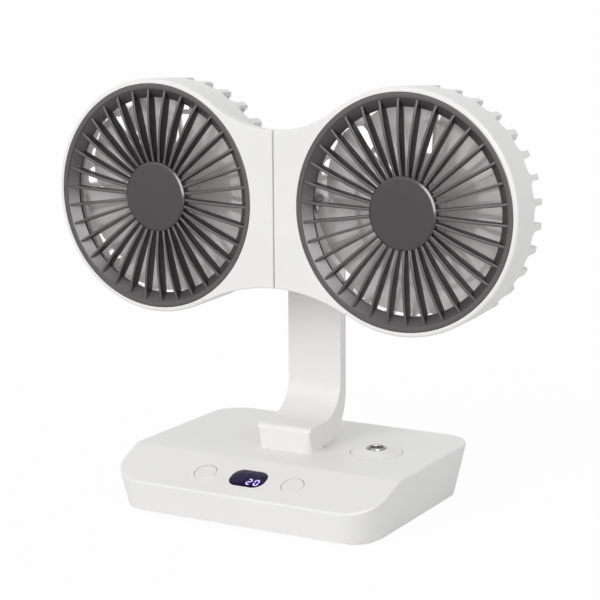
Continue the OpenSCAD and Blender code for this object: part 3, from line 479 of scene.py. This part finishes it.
def makeDigits():
    w, h, s = display["digitWidth"], display["digitHeight"], display["stroke"]
    bars = []
    for place, lit in enumerate(display["digits"]):
        for letter in lit:
            x, y, upright = barPlaces[letter]
            cx = display["left"] + w / 2 + place * (w + display["gap"]) + x * (w - s) / 2
            cy = display["bottom"] + h / 2 + y * (h - s) / 2
            half = ((h - s) / 2 - display["barGap"] if upright else w - s - display["barGap"]) / 2
            flat = half - s / 2                    # the bar's ends are pointed
            bar = cornered([(half, 0), (flat, s / 2), (-flat, s / 2), (-half, 0), (-flat, -s / 2),
                            (flat, -s / 2)])
            sideways, onwards = (upSlope, -acrossX) if upright else (acrossX, upSlope)
            origin = (panelMiddle + acrossX * cx + upSlope * cy
                      - outOfPanel * (display["sink"] + display["rooted"]))
            bars.append(slabPiece("bar", bar, origin * mm, sideways, onwards,
                                  outOfPanel * (display["rooted"] + display["proud"])))
    piece = joinPieces("displayDigits", bars)
    finishPiece(piece, finishes["displayGlow"], "base", [])


# Round buttons, dished on top, each with a flange under the casing and a stem
button = {"middleDip": 0.12, "dipAt": 0.6, "dip": 0.1, "edge": 0.45, "play": 0.3, "flange": 1.1,
          "flangeOut": 1.2, "stemRadius": 2.0, "stem": 2.4}


def makeButton(side, name, node):
    k, r = button, casing["buttonRadius"]
    under = -base["wall"] - k["play"]
    flangeEnd = under - k["flange"]
    stemEnd = flangeEnd - k["stem"]
    outline = cornered([(0, -k["middleDip"]), (r * k["dipAt"], -k["dip"]), (r, 0.0, k["edge"]), (r, under),
                        (r + k["flangeOut"], under), (r + k["flangeOut"], flangeEnd),
                        (k["stemRadius"], flangeEnd), (k["stemRadius"], stemEnd), (0, stemEnd)])
    piece = spunPiece(name, outline, buttonPlace(side), acrossX, outOfPanel, 96)
    finishPiece(piece, finishes["buttonPlastic"], node.replace("button", "key"), [node])


makeWindow()
makeDigits()
for side, word in sides:
    makeButton(side, word + "Button", word + "_button")
print("stage: panel")

# Mist cap with a raised middle, a plug below and three small marks near its edge, and its nozzle ring
mist = {"flat": 30.2, "rise": 1.8, "roof": 0.4, "collar": 1.5, "slope": 2.2, "nozzle": 5.2, "bore": 3.6,
        "ringGap": 0.05, "ringSink": 1.0, "ringRise": 1.0, "seat": 5.8, "plug": 11.9, "plugWall": 1.8,
        "low": 28.1, "plugLength": 5.0, "marks": ((200, 2.2), (290, 1.2), (60, 0.9)), "markIn": 1.5,
        "markOut": 0.7, "markSink": 0.1, "markHeight": 0.25, "markCorner": 0.3}
mistTop = mist["flat"] + mist["rise"]


def makeMistCap():
    m, r = mist, casing["capRadius"]
    roof, seat, hole = m["flat"] - m["roof"], mistTop - m["ringSink"], m["nozzle"] + m["ringGap"]
    plugIn, plugEnd = m["plug"] - m["plugWall"], m["low"] - m["plugLength"]
    outline = cornered([(m["bore"], roof), (m["bore"], seat), (hole, seat), (hole, mistTop),
                        (m["nozzle"] + m["collar"], mistTop, 0.5), (r - m["slope"], m["flat"], 1.5),
                        (r, m["flat"], 0.35), (r, m["low"]), (m["plug"], m["low"]), (m["plug"], plugEnd),
                        (plugIn, plugEnd), (plugIn, m["low"]), (m["seat"], m["low"]), (m["seat"], roof)])
    cap = spunPiece("mistCap", outline, capCentre, acrossX, upZ, 128)
    marks = []
    for angle, length in m["marks"]:
        near, far, half, corner = r - m["markIn"], r - m["markOut"], length / 2, m["markCorner"]
        mark = slabPiece("mark", cornered([(near, -half, corner), (far, -half, corner), (far, half, corner),
                                           (near, half, corner)]),
                         capCentre + upZ * (m["flat"] - m["markSink"]) * mm, acrossX, alongY,
                         upZ * m["markHeight"])
        turnMesh(mark, math.radians(angle), "Z", capCentre)
        marks.append(mark)
    piece = joinPieces("mistCap", [cap] + marks)
    finishPiece(piece, finishes["whitePlastic"], "mist_lid", ["mist_cap"])


def makeNozzle():
    low, high = mistTop - mist["ringSink"], mistTop + mist["ringRise"]
    outline = cornered([(mist["bore"], low), (mist["nozzle"], low), (mist["nozzle"], high, 0.7),
                        (mist["bore"] + 0.1, high, 0.6)], 6)
    piece = spunPiece("mistNozzle", outline, capCentre, acrossX, upZ, 96)
    finishPiece(piece, finishes["brightMetal"], "mist_lid", ["mist_nozzle"])


makeMistCap()
makeNozzle()
print("stage: mist outlet")

# Arm: front shell and back cover, both from the same side view
arm = {"width": 32.7, "front": 23.3, "back": 29.8, "footFront": -11.0, "footTop": 44.0, "toe": 3.0,
       "footCorner": 4.5, "inRadius": 19.0, "outRadius": 26.0, "cover": 1.8, "coverGap": 0.1,
       "coverFrom": -88, "top": 173.4, "neckLow": 124.0, "neckHigh": 137.0, "neckHalf": 10.5,
       "edge": 1.0, "coverEdge": 0.6}


def narrowNeck(piece):
    # The cutters reach past the arm's top, its sides and its depth
    over, beside = arm["top"] + 5, 20
    for side, word in sides:
        neck = arm["neckHalf"] * side
        cutter = slabPiece("cutter", [(arm["width"] / 2 * side + side * 0.01, arm["neckLow"]),
                                      (neck, arm["neckHigh"]), (neck, over), (beside * side, over),
                                      (beside * side, arm["neckLow"])],
                           Vector((0, -20, 0)) * mm, acrossX, upZ, alongY * 60)
        cutAway(piece, cutter)


def makeArm():
    a, floor = arm, base["height"]
    inY, inZ = a["front"] - a["inRadius"], a["footTop"] + a["inRadius"]
    outY, outZ = a["back"] - a["outRadius"], floor + a["outRadius"]
    skin = a["cover"] + a["coverGap"]
    left = Vector((-a["width"] / 2, 0, 0)) * mm
    outline = ([(a["footFront"], floor), (outY, floor)]
               + arcPoints(outY, outZ, a["outRadius"] - skin, -90, 0)
               + [(a["back"] - skin, a["top"]), (a["front"], a["top"])]
               + arcPoints(inY, inZ, a["inRadius"], 0, -90)
               + arcPoints(a["footFront"] + a["toe"], a["footTop"] - a["toe"], a["toe"], 90, 180, 6))
    shell = slabPiece("armShell", outline, left, alongY, upZ, acrossX * a["width"])
    toeY = a["footFront"] * mm
    selectWhere(shell, "edges", lambda p, q: abs(p.y - toeY) < 1e-5 and abs(q.y - toeY) < 1e-5
                and abs(p.x - q.x) < 1e-6)         # the two uprights at the front of the foot
    bevelSelected(a["footCorner"], 8)
    narrowNeck(shell)
    roundEdges(shell, a["edge"], segments=4, angle=40)
    smooth(shell, 35)
    evenShading(shell)
    finishPiece(shell, finishes["whitePlastic"], "base", ["arm_shell"])
    band = (arcPoints(outY, outZ, a["outRadius"], a["coverFrom"], 0)
            + [(a["back"], a["top"]), (a["back"] - a["cover"], a["top"])]
            + arcPoints(outY, outZ, a["outRadius"] - a["cover"], 0, a["coverFrom"]))
    cover = slabPiece("armBackCover", band, left, alongY, upZ, acrossX * a["width"])
    narrowNeck(cover)
    roundEdges(cover, a["coverEdge"], segments=3, angle=50)
    smooth(cover, 35)
    finishPiece(cover, finishes["whitePlastic"], "base", ["arm_back_cover"])


makeArm()
print("stage: arm")

# Head casing: bezel ring, half of the bridge and the boss that takes the tilt shaft
bezel = {"outer": 62.8, "bore": 60.2, "inner": 60.5, "split": 62.14, "depth": 21.5, "edge": 1.7,
         "behindPlate": 0.03, "ledge": 58.2, "ledgeDepth": 6.0, "ledgeWall": 1.4, "bridgeDepth": 5.7,
         "bridgeEdge": 0.9, "bridgeUp": 38.4, "bridgeDown": 44.0, "bridgeRim": 2.0, "bridgeSkin": 2.4,
         "seam": 0.25, "bossBore": 3.6, "bossRadius": 5.8, "bossLength": 7.15, "bossToSeam": 10.85}


def headCentre(side, depth=0.0):
    return Vector((side * fan["x"], fan["faceY"] + depth, fan["z"])) * mm


def bridgeFillet(height):
    # Radius of the arc that leaves the seam level and runs into the bezel circle
    c, big = fan["x"], bezel["outer"]
    return (c * c + height * height - big * big) / (2 * (big - height))


def bridgeOutline(inset=0.0, inside=bezel["bore"] + 0.5):
    # Seen from the front, measured from the head's centre towards the seam
    c, big = fan["x"], bezel["outer"]
    edge = c - bezel["seam"] - inset
    line = []
    for sign, height in ((1, bezel["bridgeUp"]), (-1, bezel["bridgeDown"])):
        r = bridgeFillet(height)
        arc = [(edge, sign * (height - inset))]
        for k in range(1, 60):
            a = math.radians(k)
            point = (c - (r + inset) * math.sin(a), sign * (height + r - (r + inset) * math.cos(a)))
            if math.hypot(*point) < big + 0.03 or point[0] < c * big / (big + r):
                break
            if point[0] < edge - 0.3:
                arc.append(point)
        last = math.atan2(arc[-1][1], arc[-1][0])
        turns = [last * (1 - k / 12) for k in range(13)]
        inner = [(inside * math.cos(turn), inside * math.sin(turn)) for turn in turns]
        line = arc + inner if sign > 0 else line + inner[::-1][1:] + arc[::-1]
    return line


def makeHeadShell(side, name, prefix):
    centre, b = headCentre(side), bezel
    towards = acrossX * -side                      # from the head's centre to the seam
    ledgeEnd = b["ledgeDepth"] + b["ledgeWall"]
    outline = cornered([(b["bore"], b["behindPlate"]), (b["outer"], b["behindPlate"], b["edge"]),
                        (b["split"], b["depth"], 0.25), (b["inner"], b["depth"]), (b["inner"], ledgeEnd),
                        (b["ledge"], ledgeEnd), (b["ledge"], b["ledgeDepth"]), (b["bore"], b["ledgeDepth"])])
    ring = spunPiece("ring", outline, centre, acrossX, alongY, 192)
    plate = slabPiece("plate", bridgeOutline(), centre, towards, upZ, alongY * b["bridgeDepth"])
    cutAway(plate, slabPiece("cutter", bridgeOutline(b["bridgeRim"], b["outer"]),
                             centre + alongY * b["bridgeSkin"] * mm, towards, upZ, alongY * 6))
    outside = (b["outer"] - 0.1) * mm
    selectWhere(plate, "edges", lambda p, q: all(abs(end.y - centre.y) < 1e-6
                                                 and (end - centre).xz.length > outside for end in (p, q)))
    bevelSelected(b["bridgeEdge"], 4, clamp=True)
    smooth(plate, 35)
    section = cornered([(b["bossBore"], 0), (b["bossRadius"], 0, 0.3), (b["bossRadius"], b["bossLength"]),
                        (b["bossBore"], b["bossLength"])])
    bossStart = fan["x"] - b["bossToSeam"] - b["bossLength"]
    boss = spunPiece("boss", section, headCentre(side, fan["tiltDepth"]) + towards * bossStart * mm, upZ,
                     towards, 64)
    shell = joinPieces(name, [ring, plate, boss])
    evenShading(shell)
    finishPiece(shell, finishes["whitePlastic"], prefix + "_head", [prefix + "_head_shell"])


# Vented back: slots that turn the corner, a band round the middle, a shaft tower, screw posts and a cap
vents = {"count": 31, "rim": 9.4, "corner": 3.8, "straight": 56.7, "hub": 3.4, "hubRadius": 27.0,
         "front": 22.1, "back": 36.0, "radius": 61.7, "wall": 2.0, "edge": 2.0, "edgeRound": 1.4,
         "slotEdge": 0.7, "spigot": 16.5, "spigotIn": 59.0, "spigotOut": 60.4, "bandIn": 41.8,
         "bandOut": 44.2, "tower": 4.2, "towerBore": 3.1, "towerFront": 15.1, "cap": 19.0,
         "capSink": 0.5, "capRise": 0.7, "postAt": 58.2, "postFront": 14.5, "postRadius": 2.7,
         "postBore": 1.6, "postWide": 2.1, "postWideFrom": 3.0, "postIn": 0.6,
         "postAngles": (40.65, 133.55, 226.45, 319.35)}


def makeCage(side, name, prefix):
    centre, v = headCentre(side), vents
    inner, inside, half = v["radius"] - v["wall"], v["back"] - v["wall"], v["rim"] / 2
    outline = cornered([(0.0, inside), (inner - 1, inside, 1.5), (inner, bezel["depth"] + 1),
                        (v["spigotIn"], bezel["depth"]), (v["spigotIn"], v["spigot"]),
                        (v["spigotOut"], v["spigot"]), (v["spigotOut"], bezel["depth"]),
                        (bezel["split"], bezel["depth"], 0.25),
                        (v["radius"], v["back"] - v["edge"], v["edgeRound"]),
                        (v["radius"] - v["edge"], v["back"], v["edgeRound"]), (0.0, v["back"])])
    cage = spunPiece("cage", outline, centre, acrossX, alongY, 186)
    low, high = v["front"], v["back"] + 6
    sideSlot = slabPiece("cutter", cornered([(-half, low, v["corner"]), (half, low, v["corner"]),
                                             (half, high), (-half, high)], 6),
                         centre + acrossX * v["straight"] * mm, upZ, alongY, acrossX * 9)
    cutAway(cage, copiesAround(sideSlot, v["count"], centre, "cutter"))
    meet = v["straight"] + 0.01                    # just inside the side slots
    wedge = slabPiece("cutter", [(v["hubRadius"], -v["hub"] / 2), (meet, 0.01 - half), (meet, half - 0.01),
                                 (v["hubRadius"], v["hub"] / 2)],
                      centre + alongY * (inside - 1) * mm, acrossX, upZ, alongY * 6)
    cutAway(cage, copiesAround(wedge, v["count"], centre, "cutter"))
    roundEdges(cage, v["slotEdge"], segments=2, angle=40)
    smooth(cage, 35)
    section = cornered([(v["bandIn"], inside + 0.1, 0.2), (v["bandOut"], inside + 0.1, 0.2),
                        (v["bandOut"], v["back"] - 0.1, 0.3), (v["bandIn"], v["back"] - 0.1, 0.3)])
    band = spunPiece("band", section, centre, acrossX, alongY, 128)
    section = cornered([(v["towerBore"], v["towerFront"]), (v["tower"], v["towerFront"], 0.2),
                        (v["tower"], inside + 0.2), (v["towerBore"], inside + 0.2)])
    tower = spunPiece("tower", section, centre, acrossX, alongY, 48)
    front, back, widens = v["postFront"], v["back"] - v["postIn"], v["postFront"] + v["postWideFrom"]
    section = cornered([(v["postBore"], front), (v["postRadius"], front, 0.2), (v["postRadius"], back, 0.3),
                        (v["postWide"], back, 0.2), (v["postWide"], widens), (v["postBore"], widens)])
    posts = []
    for degrees in v["postAngles"]:
        a = math.radians(degrees)
        place = centre + (acrossX * math.cos(a) + upZ * math.sin(a)) * v["postAt"] * mm
        posts.append(spunPiece("post", section, place, acrossX, alongY, 32))
    piece = joinPieces(name, [cage, band, tower] + posts)
    finishPiece(piece, finishes["whitePlastic"], prefix + "_head", [prefix + "_rear_cage"])
    low, high = v["back"] - v["capSink"], v["back"] + v["capRise"]
    cap = spunPiece(name.replace("Cage", "Cap"),
                    cornered([(0.0, low), (v["cap"], low), (v["cap"], high, 0.6), (0.0, high)]),
                    centre, acrossX, alongY, 96)
    finishPiece(cap, finishes["whitePlastic"], prefix + "_head", [prefix + "_rear_cap"])


# Front grille: dished ring, hub and thin spokes, and the round disc on the hub
grille = {"ring": 60.0, "rim": 57.4, "dish": 52.6, "dishDepth": 5.8, "dishWall": 1.5, "step": 0.45,
          "skirtIn": 58.5, "skirtDepth": 6.0, "ringBack": 2.1, "hubIn": 16.3, "hubOut": 18.5, "hubFront": 1.8,
          "hubWall": 1.2, "spokes": 34, "phase": 8.0, "thickness": 1.5, "spokeEdge": 0.4, "bulge": 1.0,
          "crest": 39.0, "root": 1.3, "rootIn": 17.4, "rootDepth": 2.2, "tip": 57.0, "tipDepth": 0.7,
          "back": 5.4, "disc": 18.7, "discDepth": 0.4, "discDip": 0.05, "discSlope": 1.1, "discFall": 0.75,
          "discPlate": 1.4, "discBack": 2.6, "discBackOut": 16.2}


def spokeFront(r):
    # Falls away from the crest to the disc and to the tip on the dished ring
    g = grille
    end, depth = (g["disc"], g["root"]) if r < g["crest"] else (g["tip"], g["tipDepth"])
    return (depth + g["bulge"]) * ((r - g["crest"]) / (end - g["crest"])) ** 2 - g["bulge"]


def makeSpoke(centre):
    g = grille
    start, steps = g["disc"] + 0.1, 16
    stops = [start + (g["tip"] - start) * k / steps for k in range(steps + 1)]
    line = [(g["rootIn"], g["rootDepth"]), (start, g["rootDepth"])] + [(r, spokeFront(r)) for r in stops]
    line += [(g["tip"], g["tipDepth"] + 0.6), (g["dish"] + 0.7, g["dishDepth"] - 0.8),
             (g["dish"] - 1, g["back"]), (g["rootIn"], g["back"] - 0.4)]
    spoke = slabPiece("spoke", line, centre - upZ * g["thickness"] / 2 * mm, acrossX, alongY,
                      upZ * g["thickness"])
    # The two long edges at the front, clear of the hub
    selectWhere(spoke, "edges", lambda p, q: abs(p.z - q.z) < 1e-6 and all(
        (end - centre).x > 18 * mm and (end.y - centre.y) < 2 * mm for end in (p, q)))
    bevelSelected(g["spokeEdge"], 2, clamp=True)
    smooth(spoke, 40)
    turnMesh(spoke, math.radians(-g["phase"]), "Y", centre)
    return spoke


def makeGrille(side, name, prefix):
    centre, g = headCentre(side), grille
    low, hubFloor, d = g["dishDepth"], g["back"] - g["hubWall"], g["discDepth"]
    section = cornered([(g["rim"], g["step"]), (g["rim"], 0, 0.15), (g["ring"], 0, 0.35),
                        (g["ring"], g["skirtDepth"]), (g["skirtIn"], g["skirtDepth"]),
                        (g["skirtIn"], g["ringBack"]), (g["rim"], g["ringBack"]), (g["dish"] + 1.2, low),
                        (g["dish"], low, 0.3), (g["dish"], low - g["dishWall"], 0.3)], 4)
    ring = spunPiece("ring", section, centre, acrossX, alongY, 204)
    section = cornered([(0, hubFloor), (g["hubIn"], hubFloor), (g["hubIn"], g["hubFront"]),
                        (g["hubOut"], g["hubFront"]), (g["hubOut"], g["back"], 0.4), (0, g["back"])])
    hub = spunPiece("hub", section, centre, acrossX, alongY, 96)
    spokes = copiesAround(makeSpoke(centre), g["spokes"], centre, "spokes")
    piece = joinPieces(name, [ring, hub, spokes])
    finishPiece(piece, finishes["grillePlastic"], prefix + "_head", [prefix + "_front_grille"])
    section = cornered([(0, d + g["discDip"]), (g["disc"] - g["discSlope"], d, 0.2),
                        (g["disc"], d + g["discFall"], 0.25), (g["disc"], d + g["discPlate"]),
                        (g["discBackOut"], d + g["discPlate"]),
                        (g["discBackOut"], d + g["discBack"]), (0, d + g["discBack"])])
    disc = spunPiece(name.replace("Grille", "Disc"), section, centre, acrossX, alongY, 128, angle=40)
    finishPiece(disc, finishes["discPlastic"], prefix + "_head", [prefix + "_grille_disc"])


# Rotor: cup-shaped hub and bowed blades, with a radius, blade angle and half chord at each station
rotor = {"hub": 17.5, "front": 9.6, "back": 25.0, "bore": 1.5, "cupIn": 15.9, "cupFloor": 12.4,
         "coneIn": 13.5, "floor": 11.2, "sleeve": 3.5, "sleeveEnd": 14.1, "blades": 7, "thickness": 1.2,
         "bow": 1.2, "bladeEdge": 0.35,
         "stations": ((16.8, 33, 10.5), (24.0, 28, 14.8), (32.0, 23, 18.2), (40.0, 19, 21.6),
                      (46.0, 16.5, 24.2), (51.5, 15, 26.0), (54.1, 14.5, 23.5))}


def bladePoint(across, station):
    # From the head's axis; across runs from -1 to 1 over the chord
    radius, angle, halfChord = station
    a = math.radians(angle)
    point = (Vector((radius, 0, 0)) + Vector((0, math.sin(a), math.cos(a))) * across * halfChord
             + Vector((0, -math.cos(a), math.sin(a))) * rotor["bow"] * (1 - across * across))
    shrink = radius / math.hypot(point.x, point.z)     # keeps every station on its own radius
    return Vector((point.x * shrink, (rotor["front"] + rotor["back"]) / 2 + point.y, point.z * shrink))


def makeBlade(centre):
    spans = len(rotor["stations"]) - 1
    deselectAll()
    bpy.ops.mesh.primitive_grid_add(x_subdivisions=spans, y_subdivisions=6, size=1, location=centre)
    blade = nameNew("blade")
    for vertex in blade.data.vertices:
        local = vertex.co - centre
        station = rotor["stations"][round((local.x + 0.5) * spans)]
        vertex.co = centre + bladePoint(local.y * 2, station) * mm
    applyModifier(blade, "SUBSURF", levels=1, render_levels=1)
    applyModifier(blade, "SOLIDIFY", thickness=rotor["thickness"] * mm, offset=0)
    roundEdges(blade, rotor["bladeEdge"], segments=2, angle=50)
    pick(blade)
    bpy.ops.object.mode_set(mode="EDIT")
    faceOutwards()
    smooth(blade, 40)
    return blade


def makeRotor(side, name, prefix):
    centre, r = headCentre(side), rotor
    section = cornered([(r["bore"], r["front"]), (r["hub"], r["front"], 2.0), (r["hub"], r["back"], 0.4),
                        (r["cupIn"], r["back"]), (r["cupIn"], r["cupFloor"]), (r["coneIn"], r["floor"]),
                        (r["sleeve"], r["floor"]), (r["sleeve"], r["sleeveEnd"]),
                        (r["bore"], r["sleeveEnd"])])
    hub = spunPiece("hub", section, centre, acrossX, alongY, 96)
    blades = copiesAround(makeBlade(centre), r["blades"], centre, "blades")
    piece = joinPieces(name, [hub, blades])
    finishPiece(piece, finishes["smokyPlastic"], prefix + "_rotor", [prefix + "_fan_rotor"])


for side, word in sides:
    makeHeadShell(side, word + "HeadShell", word)
    makeCage(side, word + "RearCage", word)
    makeGrille(side, word + "Grille", word)
    makeRotor(side, word + "Rotor", word)
    print("stage:", word, "head")

# The pieces kept as the frame has them get their finishes
nodeFinishes = {
    "base_bottom": "whitePlastic", "rubber_feet": "footRubber", "base_screws": "plainSteel",
    "display_module": "blackPlastic", "control_board": "boardGreen", "button_switches": "plainSteel",
    "battery_cells": "cellWrap", "battery_tray": "greyPlastic", "charge_board": "boardGreen",
    "usb_port": "plainSteel", "water_tank": "tankPlastic", "mist_wick": "wickCotton",
    "cap_seal": "footRubber", "mist_disc": "discSteel", "arm_screws": "plainSteel",
    "arm_cable": "cableJacket", "pivot_block": "whitePlastic", "pivot_screws": "plainSteel",
    "tilt_bushes": "turnedBrass", "friction_washers": "plainSteel", "tilt_shaft": "plainSteel",
    "rotor_magnet": "darkMagnet", "motor_shaft": "plainSteel", "motor_stator": "copperWire",
    "motor_board": "boardGreen", "motor_bearings": "turnedBrass", "head_screws": "plainSteel",
}
for name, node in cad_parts.items():
    key = name.replace("left_", "").replace("right_", "")
    if key in nodeFinishes:
        node.data.materials.clear()
        node.data.materials.append(finishes[nodeFinishes[key]])
print("stage: frame pieces")

# Floor and world are seen as white, and light the object as a pale grey studio does
white = (1, 1, 1, 1)
floorLook = {"size": 90.0, "color": (0.8, 0.8, 0.8), "roughness": 0.9, "ownLight": 0.96}
lighting = {"world": 0.63, "sun": 1.1, "sunFrom": (-0.3, -0.8, 0.42), "sunSize": 40,
            "fill": 0.36, "fillFrom": (0.62, -0.1, 0.78), "fillSize": 70,
            "gloss": 22.0, "glossFrom": (0.58, -0.67, 0.4), "glossAway": 1.2, "glossSize": (0.9, 1.1)}


def seenBy(tree, rays):
    # 1 for the named kinds of ray, otherwise 0
    path = addNode(tree, "LightPath", {})
    seen = path.outputs[rays[0]]
    for ray in rays[1:]:
        seen = addNode(tree, "Math", {0: seen, 1: path.outputs[ray]}, operation="MAXIMUM").outputs[0]
    return seen


def blendShaders(tree, share, first, second, output):
    mix = addNode(tree, "MixShader", {0: share, 1: first, 2: second})
    tree.links.new(mix.outputs["Shader"], tree.nodes[output].inputs["Surface"])


def makeFloor():
    deselectAll()
    bpy.ops.mesh.primitive_plane_add(size=floorLook["size"], location=(0, 0, 0))
    floor = bpy.context.object
    floor.name = "floor"
    material, tree, shader = newMaterial("paleFloor")
    setInputs(tree, shader, {"Base Color": (*floorLook["color"], 1), "Roughness": floorLook["roughness"]})
    shown = addNode(tree, "Emission", {"Color": white})
    seen = seenBy(tree, ("Is Camera Ray", "Is Transmission Ray"))
    share = addNode(tree, "Math", {0: seen, 1: floorLook["ownLight"]}, operation="MULTIPLY")
    blendShaders(tree, share.outputs[0], shader.outputs["BSDF"], shown.outputs["Emission"],
                 "Material Output")
    floor.data.materials.append(material)


def makeWorld():
    world = bpy.data.worlds.new("studio")
    scene.world = world
    world.use_nodes = True
    tree = world.node_tree
    plain = setInputs(tree, tree.nodes["Background"], {"Color": white, "Strength": lighting["world"]})
    shown = addNode(tree, "Background", {"Color": white, "Strength": 1})
    seen = seenBy(tree, ("Is Camera Ray", "Is Glossy Ray", "Is Transmission Ray"))
    blendShaders(tree, seen, plain.outputs["Background"], shown.outputs["Background"], "World Output")


def makeLamps():
    deselectAll()
    for lamp in ("sun", "fill"):                   # the main light, and a weak one from the upper right
        towards = Vector(lighting[lamp + "From"])
        bpy.ops.object.light_add(type="SUN", location=towards * 3)
        light = bpy.context.object
        light.name = lamp
        light.rotation_euler = towards.to_track_quat("Z", "Y").to_euler()
        light.data.energy = lighting[lamp]
        light.data.angle = math.radians(lighting[lamp + "Size"])
    # A soft panel on the right that only shows as a sheen
    towards = Vector(lighting["glossFrom"]).normalized()
    place = Vector((0, 0, fan["z"] * mm)) + towards * lighting["glossAway"]
    bpy.ops.object.light_add(type="AREA", location=place, rotation=towards.to_track_quat("Z", "Y").to_euler())
    panel = bpy.context.object
    panel.name = "gloss"
    panel.data.shape = "RECTANGLE"
    panel.data.size, panel.data.size_y = lighting["glossSize"]
    panel.data.energy = lighting["gloss"]
    panel.visible_diffuse = panel.visible_transmission = panel.visible_camera = False


makeFloor()
makeWorld()
makeLamps()

# Camera at the photograph's viewpoint
camera = {"place": (0.4498, -0.7822, 0.2776), "tilt": 77.02, "turn": 28.13, "lens": 102.91, "sensor": 36,
          "shiftX": -0.075, "shiftY": 0.125}
deselectAll()
bpy.ops.object.camera_add(location=camera["place"],
                          rotation=(math.radians(camera["tilt"]), 0, math.radians(camera["turn"])))
eye = bpy.context.object
eye.data.lens, eye.data.sensor_width = camera["lens"], camera["sensor"]
eye.data.shift_x, eye.data.shift_y = camera["shiftX"], camera["shiftY"]
scene.camera = eye
scene.view_settings.view_transform = "Standard"
print("stage: camera and light")
